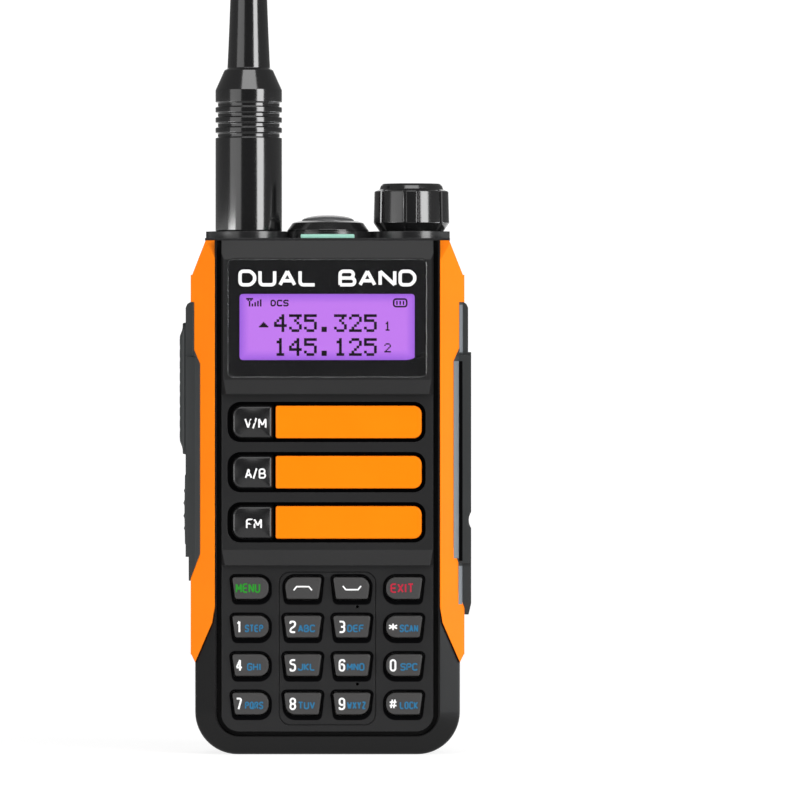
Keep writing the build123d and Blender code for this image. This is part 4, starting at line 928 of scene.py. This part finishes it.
class RADIO_OT_keypad(bpy.types.Operator):
    """Make the keypad's keys with their legends, and black rings round them: painted shade in the
    gaps, wider below each key as a painted shadow
    """
    bl_idname = "radio.keypad"
    bl_label = "Keypad"

    def execute(self, context):
        crown, edge = millimetres("key_crown"), millimetres("key_edge")
        flange = 15.15
        shade_rings = []
        for row, names in enumerate(ROWS):
            for column, name in enumerate(names):
                top = -cad_box(name)[0][1]
                line = key_outline(column, row)
                levels = [(-0.8, flange - 0.75), (-0.8, flange), (0.0, flange), (0.0, top - edge),
                          (0.06 * edge, top - 0.55 * edge), (0.3 * edge, top - 0.2 * edge),
                          (0.62 * edge, top - 0.04 * edge), (edge, top)]
                piece(name + "_cap", raised(line, levels, front, crown), name, "key_grey",
                      hides=[name])
                ring = even(line, 160)
                # A black ring round each key, standing just proud of the panel, is painted shade
                # in the gap; its lower half is moved down as a painted shadow under the key.
                lower = (ring[:, 1:] < KEY_Z[row]) * np.array([[0.0, -0.62]])
                shade_rings.append(flat_ring(inset(ring, -0.72) + lower, inset(ring, -0.38),
                                       PANEL - 0.3, PANEL + 0.05, front))
                self.legend(name, column, row, top + crown)
        piece("key_wells", gather(shade_rings), "radio_body", "panel_black", "well_black")
        return {"FINISHED"}

    def legend(self, name, column, row, level):
        """Number or glyph at the left of a key, and small letters at its right."""
        x, z, out = key_shift(column), KEY_Z[row], millimetres("print_height")

        def words(ending, finish, text, height, across, up, wide, pen, gap, sunk=0.0):
            """Letters placed by how far they stand to the right of a key's middle and above it."""
            shape = lettering(text, height, (x + across, z + up), level - sunk, front, wide, pen,
                              gap, out)
            piece(name + ending, shape, name, "key_grey", finish)

        if name == "key_menu":
            words("_words", "print_green", "MENU", 2.2, -0.55, 0.0, 0.42, 0.17, 0.22)
        elif name == "key_exit":
            words("_words", "print_red", "EXIT", 2.2, -0.5, 0.0, 0.5, 0.17, 0.22)
        elif name in ("key_up", "key_down"):
            rise = 0.5 if name == "key_up" else -0.5
            line = [(x - 2.1, z - rise), (x - 1.4, z + rise * 0.7), (x + 1.4, z + rise * 0.7),
                    (x + 2.1, z - rise)]
            piece(name + "_mark", strokes([line], 0.34, level - PLATE, level + out, front), name,
                  "key_grey", "print_white")
        else:
            mark = {"key_star": "*", "key_hash": "#"}.get(name, name[-1])
            height, wide, pen = {"*": (2.2, 0.85, 0.16), "#": (2.3, 0.68, 0.15)}.get(
                mark, (2.85, 0.38, 0.15))
            left = -2.6 if column in (0, 3) else -2.3
            words("_words", "print_white", mark, height, left, -0.05, wide, pen, 0.3)
            letters = LETTERS[name]
            right = 1.05 if column == 3 or name == "key_9" else 0.85
            words("_letters", "print_blue", letters, 1.75, right, -0.4,
                  0.37 if len(letters) == 4 else 0.52, 0.19, 0.25, 0.01)


class RADIO_OT_side_buttons(bpy.types.Operator):
    """Make the talk button with its ridges, and the side key under it"""
    bl_idname = "radio.side_buttons"
    bl_label = "Side buttons"

    def execute(self, context):
        (y, z), size = outline_of("ptt_button", (1, 2))
        top = -cad_box("ptt_button")[0][0]
        pitch, depth = millimetres("grip_pitch"), millimetres("grip_depth")

        def ridges(u, v):
            """Valleys a pitch apart over the middle, fading out at both ends and both sides,
            and the button's two ends sloping down."""
            wave = (0.5 - 0.5 * np.cos(2 * np.pi * (v - z) / pitch)) ** 3
            slope = np.clip((abs(v - z) - 11.6) / 3.6, 0, 1) ** 1.5
            return (0.7 - depth * wave * fade(v - z, 11.9, 0.4) * fade(u - y, 3.9, 0.5)
                    - 1.1 * slope)

        levels = [(0.0, 32.0), (0.0, top - 1.25), (0.05, top - 1.0), (0.2, top - 0.78)]
        cap = raised(bar(*size, 2.0, (y, z)), levels, left_side, 0.0, 420, 40, ridges)
        piece("talk_button", cap, "ptt_button", "button_rubber", hides=["ptt_button"], sharp=60)
        (y, z), size = outline_of("side_key", (1, 2))
        top = -cad_box("side_key")[0][0]

        def lines(u, v):
            """Three short raised ribs across the middle."""
            return (0.22 * round_ribs(v - z, 3.0, 0.45) * fade(v - z, 4.6, 0.2)
                    * fade(u - y, 2.6, 0.4))

        levels = [(0.0, 31.9), (0.0, top - 0.75), (0.06, top - 0.5), (0.25, top - 0.28)]
        cap = raised(bar(*size, 1.9, (y, z)), levels, left_side, 0.18, 320, 26, lines)
        piece("call_button", cap, "side_key", "button_rubber", hides=["side_key"], sharp=60)
        return {"FINISHED"}


class RADIO_OT_socket_flap(bpy.types.Operator):
    """Make the rubber flap over the sockets, with its two plugs and finger ribs"""
    bl_idname = "radio.socket_flap"
    bl_label = "Socket flap"

    def execute(self, context):
        low, high = cad_box("jack_flap")
        (y, z), size = outline_of("jack_flap", (1, 2))
        top, base = high[0], 31.4

        def relief(u, v):
            """A sunk panel over the sockets, and four ribs near the lower end."""
            sunk = fade(u - y, 3.2, 0.25) * fade(v - z - 3.0, 11.2, 0.25)
            grip = fade(u - y, 3.6, 0.3) * fade(v - low[2] - 3.6, 3.2, 0.2)
            return -0.3 * sunk - 0.3 * round_ribs(v - low[2], 1.6, 0.4) * grip

        levels = [(0.0, base), (0.0, top - 0.85), (0.12, top - 0.42), (0.4, top - 0.12),
                  (0.8, top)]
        shapes = [raised(bar(*size, 1.0, (y, z)), levels, right_side, 0.0, 400, 40, relief)]
        block_low, block_high = cad_box("jack_block")
        for share, radius in ((0.795, 1.4), (0.205, 0.9)):
            at = block_low[2] + share * (block_high[2] - block_low[2])
            ring = corners([(-1, -1), (1, -1), (1, 1), (-1, 1)], 0.999, 12) * radius + (y, at)
            shapes.append(raised(ring, [(0.0, -base), (0.0, -low[0] - 0.25), (0.2, -low[0])],
                                 left_side, 0.0, 40, 3))
        piece("socket_flap", gather(shapes), "jack_flap", "pad_rubber", "button_rubber",
              hides=["jack_flap"], sharp=60)
        self.facets()
        return {"FINISHED"}

    def facets(self):
        """Pale bluish faces cut at 45 degrees beside the coloured panel, a painted reflection, and
        the black line next to the long one, painted shade."""
        diagonal = 0.7071
        edges = (
            # x and y of the face's near edge, its run back, lower end, upper end
            (29.05, -15.7, 1.2, 45.2, 90.6),
            (30.35, -14.4, 0.8, 92.6, 103.6),
            (30.15, -14.6, 0.9, 34.6, 43.4),
        )
        # Thin pale plates laid on the facets: a painted reflection.
        pale = []
        for x, y, run, low, high in edges:
            def slanted(u, v, h, x=x + run / 2, y=y + run / 2):
                """Plane of one facet: u across it, v up, h outwards."""
                return np.stack([x + (u + h) * diagonal, y + (u - h) * diagonal, v], -1)
            pale.append(strokes([[(0.0, low), (0.0, high)]], run * 1.36, -0.15, 0.03, slanted))
        piece("trim_facets", gather(pale), "radio_body", "pad_rubber", "facet_grey")
        # A black strip standing a little proud of the pad: painted shade of a groove.
        groove = strokes([[(30.72, 44.6), (30.72, 90.6)]], 0.75, 14.35, 14.60, front)
        piece("trim_groove", groove, "radio_body", "pad_rubber", "well_black")


class RADIO_OT_knob(bpy.types.Operator):
    """Make the ribbed volume knob and its pointer"""
    bl_idname = "radio.knob"
    bl_label = "Volume knob"

    def execute(self, context):
        top, foot = cad_box("volume_knob")[1][2], COVER + 0.04
        centre = (middle("volume_shaft")[0], middle("torch_lens")[1])
        ribs, proud, half, flank = sizes().knob_ribs, 0.36, 1.2, 0.14
        beside, deep, narrow = 0.36, 0.42, 0.3

        def ribbed(radius, angle, height):
            """Flat ribs standing proud of the round wall: a rib reaches half its width either
            side of its middle, over narrow flanks, and a groove runs beside each flank."""
            turn = (angle + np.pi / 2 + np.pi / ribs) % (2 * np.pi / ribs) - np.pi / ribs
            off = np.abs(turn) * radius
            wall = (height > foot + 0.9) & (height < top - 1.2) & (radius > 7.9)
            rib = np.clip((half - off) / flank + 0.5, 0, 1)
            return radius + wall * (proud * rib - deep * fade(off - half - beside, narrow, narrow))

        line = corners([(0, foot + 2), (3.9, foot + 2), (3.9, foot), (7.4, foot),
                        (8.80, foot + 1.95), (8.62, top - 1.8), (7.5, top - 1.35),
                        (7.4, top - 1.2), (7.15, top - 0.5), (6.7, top), (6.3, top),
                        (6.1, top - 0.22), (0, top - 0.22)],
                       [0, 0.1, 0.2, 0.2, 0.25, 0.25, 0.04, 0.04, 0.3, 0.2, 0.1, 0.1, 0], 7,
                       False)
        piece("knob", lathe(line, centre, 720, ribbed), "volume_control", "knob_black",
              hides=["volume_knob"], sharp=30)
        mark = strokes([[(centre[0], centre[1] - 5.6), (centre[0], centre[1] - 2.6)]], 0.7,
                       top - 0.3, top - 0.17, upward)
        piece("knob_pointer", mark, "volume_control", "knob_black", "print_white")
        return {"FINISHED"}


class RADIO_OT_torch(bpy.types.Operator):
    """Make the torch's bezel, bowl, lamp and lens, and the status light"""
    bl_idname = "radio.torch"
    bl_label = "Torch and status light"

    def execute(self, context):
        centre, _ = outline_of("torch_bezel", (0, 1))
        top = cad_box("torch_bezel")[1][2]
        ring = corners([(6.2, COVER + 0.02), (9.45, COVER + 0.02), (9.45, COVER + 0.35),
                        (8.25, top - 0.42), (6.85, top), (6.25, top), (6.2, top - 0.3)],
                       [0, 0.1, 0.3, 0.5, 0.4, 0.1, 0])
        piece("torch_ring", lathe(ring, centre, 160, loop=True), "radio_body", "bezel_black",
              hides=["torch_bezel"])
        bowl = [(6.15, COVER + 1.0), (5.4, COVER + 0.2), (4.0, COVER - 0.7), (1.7, COVER - 1.2),
                (1.7, COVER - 1.4), (4.2, COVER - 0.95), (5.6, COVER), (6.15, COVER + 0.8)]
        piece("torch_bowl", lathe(bowl, centre, 96, loop=True), "radio_body", "lens_clear",
              "reflector")
        seat = COVER - 1.3
        levels = [(0.0, seat - 2.0), (0.0, seat), (0.1, seat + 0.1)]
        piece("torch_chip", raised(bar(3.0, 3.0, 0.3, centre), levels, upward, 0.0, 60, 3),
              "radio_body", "led_yellow", "led_white", hides=["torch_led"])
        levels = [(0.0, seat), (0.0, seat + 0.2), (0.1, seat + 0.26)]
        piece("torch_phosphor", raised(bar(1.7, 1.7, 0.2, centre), levels, upward, 0.08, 60, 4),
              "radio_body", "led_yellow")
        low, high = cad_box("torch_lens")
        edge, dome = (high - low)[0] / 2, 1.35
        turn = np.linspace(0, 1, 14) * np.pi / 2
        over = np.stack([edge * np.cos(turn), high[2] - dome + dome * np.sin(turn)], 1)
        under = np.array([(0, low[2]), (edge - 0.3, low[2]), (edge, low[2] + 0.2)])
        piece("torch_window", lathe(np.vstack([under, over]), centre, 128), "radio_body",
              "lens_clear", hides=["torch_lens"])
        low, high = cad_box("status_light")
        (_, y), size = outline_of("status_light", (0, 1))
        top = high[2]
        levels = [(0.0, low[2]), (0.0, top - 0.3), (0.06, top - 0.1), (0.2, top)]
        cap = raised(bar(*size, 0.3, (0.0, y)), levels, upward, 0.05, 160, 4)
        piece("status_lens", cap, "radio_body", "status_mint", hides=["status_light"], sharp=60)
        return {"FINISHED"}


class RADIO_OT_antenna(bpy.types.Operator):
    """Make the antenna, and the threaded stud and nut that it screws on"""
    bl_idname = "radio.antenna"
    bl_label = "Antenna"

    def execute(self, context):
        piece("whip", lathe(self.whip(), middle("antenna_insert")[:2], 128), "antenna_whip",
              "antenna_rubber", hides=["antenna"], sharp=34)
        piece("antenna_stud", gather(self.stud()), "radio_body", "steel", "brass",
              hides=["antenna_socket"])
        return {"FINISHED"}

    def whip(self):
        """Profile of the antenna: a hollow foot, four grooves, a shoulder, a shaft whose radius
        falls towards the tip as an exponential of its height, and a round end."""
        low, high = cad_box("antenna")
        foot, tip, girth = low[2] - 0.03, high[2], (high - low)[0] / 2
        points = [(0, foot + 9.5), (4.6, foot + 9.5), (4.6, foot + 1.5), (5.1, foot + 1.5),
                  (5.1, foot), (girth, foot)]
        radii = [0, 0.05, 0.05, 0.05, 0.1, 0.35]
        first, apart, deep, wide = foot + 21.65, 2.37, 0.55, 1.2
        for turn in range(4):
            z = first + apart * turn
            points += [(girth, z), (girth - deep, z + 0.22), (girth - deep, z + wide - 0.22),
                       (girth, z + wide)]
            radii += [0.14, 0.12, 0.12, 0.14]
        points += [(girth, foot + 32.8), (5.7, foot + 37.35), (4.98, foot + 37.9),
                   (4.93, foot + 38.9)]
        radii += [0.6, 0.3, 0.2, 0]
        body = corners(points, radii, 7, False)
        shoulder, end = foot + 39.1, 2.9
        rise = np.linspace(shoulder, tip - end, 60)
        taper = np.stack([2.85 + 2.07 * np.exp(-(rise - shoulder) / 42.0), rise], 1)
        turn = np.linspace(0, np.pi / 2, 10)[1:]
        cap = np.stack([taper[-1, 0] * np.cos(turn), tip - end + end * np.sin(turn)], 1)
        cap[-1, 0] = 0.0
        return np.vstack([body, taper, cap])

    def stud(self):
        """The threaded stud, the nut round it and the square foot under it."""
        low, high = cad_box("antenna_socket")
        centre = middle("antenna_insert")[:2]
        pitch, radius_out, top = millimetres("thread_pitch"), 3.1, high[2]

        def threaded(radius, angle, height):
            """A single helical thread: the crest climbs one pitch for each turn."""
            wave = np.cos(2 * np.pi * height / pitch - angle)
            return radius - np.where(radius > 2.9, 0.09 * (1 - wave), 0.0)

        def hexagon(radius, angle, height):
            """Six flats: the radius grows as 1 / cos of the angle from a flat's middle."""
            off = (angle + np.pi / 6) % (np.pi / 3) - np.pi / 6
            return np.minimum(radius, 0.93 * radius / np.cos(off))

        rise = np.linspace(COVER, top - 0.4, 110)
        stud = np.vstack([[(0, low[2]), (radius_out, low[2])],
                          np.stack([np.full(len(rise), radius_out), rise], 1),
                          [(2.7, top), (1.6, top), (1.6, top - 3), (0.45, top - 3),
                           (0.45, top - 1), (0, top - 0.8)]])
        nut = corners([(radius_out, COVER), (4.6, COVER), (4.6, COVER + 1.4),
                       (radius_out, COVER + 1.4)], [0, 0.2, 0.2, 0])
        levels = [(0.0, low[2]), (0.0, low[2] + 5.8), (0.2, low[2] + 6.0)]
        foot = raised(bar(9.0, 9.0, 0.6, centre), levels, upward, 0.0, 80, 3)
        return (lathe(stud, centre, 48, threaded), lathe(nut, centre, 96, hexagon, loop=True),
                foot)


class RADIO_OT_back(bpy.types.Operator):
    """Finish the battery, latch and belt clip, and make the clip's coil spring and marks"""
    bl_idname = "radio.back"
    bl_label = "Battery and belt clip"

    def execute(self, context):
        dress("battery_shell", "battery_tray", "charge_contacts", "battery_latch", "belt_clip",
              "clip_bracket", "clip_pin", "clip_screws")
        wire = millimetres("spring_wire") / 2
        pin = middle("clip_pin")
        low = cad_box("clip_spring")[0]
        half, coil, turns, steps = 4.35, 1.42, 13, 22
        t = np.linspace(0, 1, turns * steps)
        angle = 2 * np.pi * turns * t + np.pi
        helix = np.stack([pin[0] + half * (2 * t - 1), pin[1] + coil * np.cos(angle),
                          pin[2] + coil * np.sin(angle)], 1)
        s = np.linspace(0, 1, 12)[1:, None]
        run = np.array([0.0, low[1] + wire - pin[1] + coil, low[2] - pin[2] + 0.2])
        path = np.vstack([(helix[0] + s * run)[::-1], helix, helix[-1] + s * run])
        piece("coil_spring", tube(path, wire), "radio_body", "steel", hides=["clip_spring"])
        shell = cad_box("battery_shell")[1][1]
        marks = gather([lettering(mark, 2.2, (side * 14.6, 14.0), shell, back, 1.0)
                        for mark, side in (("+", 1), ("-", -1))])
        piece("contact_marks", marks, "battery_pack", "battery_black", "print_white")
        return {"FINISHED"}


class RADIO_OT_stage(bpy.types.Operator):
    """Make the pale sweep, the sky, the lamps and the camera"""
    bl_idname = "radio.stage"
    bl_label = "Studio"

    def execute(self, context):
        studio = context.scene.radio_studio
        self.sweep()
        self.sky(studio.sky)
        aim = np.array(studio.aim)
        lamps = (
            # name, place, width and height in metres, power, colour
            ("lamp_above", (0.05, -1.15, 1.42), 1.4, 1.1, studio.above, (1.0, 1.0, 1.0)),
            ("lamp_right", (0.92, -1.06, 0.40), 0.62, 1.2, studio.side, (1.0, 1.0, 1.0)),
            ("lamp_left", (-1.25, -1.2, 0.35), 1.3, 1.2,
             studio.side * studio.side_share, (1.0, 1.0, 1.0)),
            ("lamp_low_right", (0.36, 0.03, 0.03), 0.2, 0.1, studio.low, (0.95, 0.98, 1.0)),
            ("lamp_low_left", (-0.36, -0.2, 0.04), 0.2, 0.1, studio.low, (1.0, 1.0, 1.0)),
        )
        for name, place, width, height, power, tint in lamps:
            light = bpy.data.lights.new(name, "AREA")
            light.shape, light.size, light.size_y = "RECTANGLE", width, height
            light.energy, light.color = power, tint
            lamp = bpy.data.objects.new(name, light)
            lamp.location = place
            towards = (aim - np.array(place)) / np.linalg.norm(aim - np.array(place))
            lamp.rotation_euler = (math.acos(-towards[2]), 0.0,
                                   math.atan2(towards[1], towards[0]) - math.pi / 2)
            context.scene.collection.objects.link(lamp)
        camera = bpy.data.cameras.new("camera")
        camera.sensor_width = 36.0
        camera.lens = camera.sensor_width * studio.distance / studio.field
        camera.clip_start, camera.clip_end = 0.05, 50.0
        holder = bpy.data.objects.new("camera", camera)
        holder.location = (aim[0], aim[1] - studio.distance, aim[2])
        holder.rotation_euler = (math.pi / 2, 0.0, 0.0)
        context.scene.collection.objects.link(holder)
        context.scene.camera = holder
        context.scene.view_settings.view_transform = "Standard"
        return {"FINISHED"}

    def sweep(self):
        """Floor that bends up into a backdrop: flat from just in front of the radio, then a
        quarter circle, then upright. It glows a little more the further back it is. Lengths here
        are in metres."""
        ahead, behind, radius, top, half, bend = -0.32, 6.5, 0.5, 4.5, 2.2, 30
        a = np.linspace(0, np.pi / 2, bend)
        y = np.concatenate([[ahead], behind + radius * np.sin(a), [behind + radius]])
        z = np.concatenate([[0.0], radius * (1 - np.cos(a)), [top]])
        x = np.linspace(-half, half, 3)
        grid = np.stack(np.broadcast_arrays(x[None, :], y[:, None], z[:, None]), -1)
        rows, columns = grid.shape[:2]
        corner = (np.arange(rows - 1)[:, None] * columns + np.arange(columns - 1)).ravel()
        faces = np.stack([corner, corner + 1, corner + columns + 1, corner + columns], 1)
        mesh = bpy.data.meshes.new("sweep")
        mesh.from_pydata(grid.reshape(-1, 3).tolist(), [], faces.tolist())
        mesh.polygons.foreach_set("use_smooth", np.ones(len(mesh.polygons), bool))
        finish = Finish("studio_paper", (0.30, 0.30, 0.30), 0.9, specular=0.1)
        finish.set(emission_color=(1.0, 1.0, 1.0, 1.0))
        depth = finish.add("SeparateXYZ", [("Vector", finish.place())]).outputs["Y"]
        glow = finish.add("MapRange", [("Value", depth), ("From Min", 0.0), ("From Max", 2.0),
                                       ("To Min", 0.84), ("To Max", 0.95)])
        finish.join(glow.outputs["Result"], "Emission Strength")
        mesh.materials.append(finish.bump(finish.noise(3.0), 0.01).done())
        paper = bpy.data.objects.new("sweep", mesh)
        bpy.context.scene.collection.objects.link(paper)

    def sky(self, strength):
        """Pale light all round, less than half as bright behind the camera, as in a studio."""
        world = bpy.data.worlds.new("sky")
        bpy.context.scene.world = world
        world.use_nodes = True
        nodes, links = world.node_tree.nodes, world.node_tree.links
        ground = nodes["Background"]
        where = nodes.new("ShaderNodeTexCoord")
        split = nodes.new("ShaderNodeSeparateXYZ")
        span = nodes.new("ShaderNodeMapRange")
        span.interpolation_type = "SMOOTHSTEP"
        span.inputs["From Min"].default_value, span.inputs["From Max"].default_value = -0.98, -0.45
        span.inputs["To Min"].default_value, span.inputs["To Max"].default_value = 0.4, 1.0
        links.new(where.outputs["Generated"], split.inputs["Vector"])
        links.new(split.outputs["Y"], span.inputs["Value"])
        links.new(span.outputs["Result"], ground.inputs["Color"])
        ground.inputs["Strength"].default_value = strength


class RADIO_PT_parts(bpy.types.Panel):
    """Lists the radio's pieces, settings and studio"""
    bl_idname = "RADIO_PT_parts"
    bl_label = "Two way radio"
    bl_space_type = "VIEW_3D"
    bl_region_type = "UI"
    bl_category = "Radio"

    def draw(self, context):
        for operator in OPERATORS:
            self.layout.operator(operator.bl_idname)
        for group in (context.scene.radio_colours, context.scene.radio_sizes,
                      context.scene.radio_studio):
            box = self.layout.box()
            for name in group.__annotations__:
                box.prop(group, name)


GROUPS = (RadioColours, RadioSizes, RadioStudio)
OPERATORS = (RADIO_OT_housings, RADIO_OT_insides, RADIO_OT_display, RADIO_OT_bars,
             RADIO_OT_keypad, RADIO_OT_side_buttons, RADIO_OT_socket_flap, RADIO_OT_knob,
             RADIO_OT_torch, RADIO_OT_antenna, RADIO_OT_back, RADIO_OT_stage)


def register():
    for cls in (*GROUPS, *OPERATORS, RADIO_PT_parts):
        bpy.utils.register_class(cls)
    bpy.types.Scene.radio_colours = PointerProperty(type=RadioColours)
    bpy.types.Scene.radio_sizes = PointerProperty(type=RadioSizes)
    bpy.types.Scene.radio_studio = PointerProperty(type=RadioStudio)


def unregister():
    del bpy.types.Scene.radio_colours, bpy.types.Scene.radio_sizes, bpy.types.Scene.radio_studio
    for cls in reversed((*GROUPS, *OPERATORS, RADIO_PT_parts)):
        bpy.utils.unregister_class(cls)


def main():
    """Makes everything in order."""
    own = set(frame["nodes"].values()) | set(frame["bodies"].values())
    for stray in [thing for thing in bpy.data.objects if thing not in own]:
        bpy.data.objects.remove(stray)
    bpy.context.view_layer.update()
    register()
    for operator in OPERATORS:
        group, name = operator.bl_idname.split(".")
        getattr(getattr(bpy.ops, group), name)()


if __name__ == "__main__":
    main()
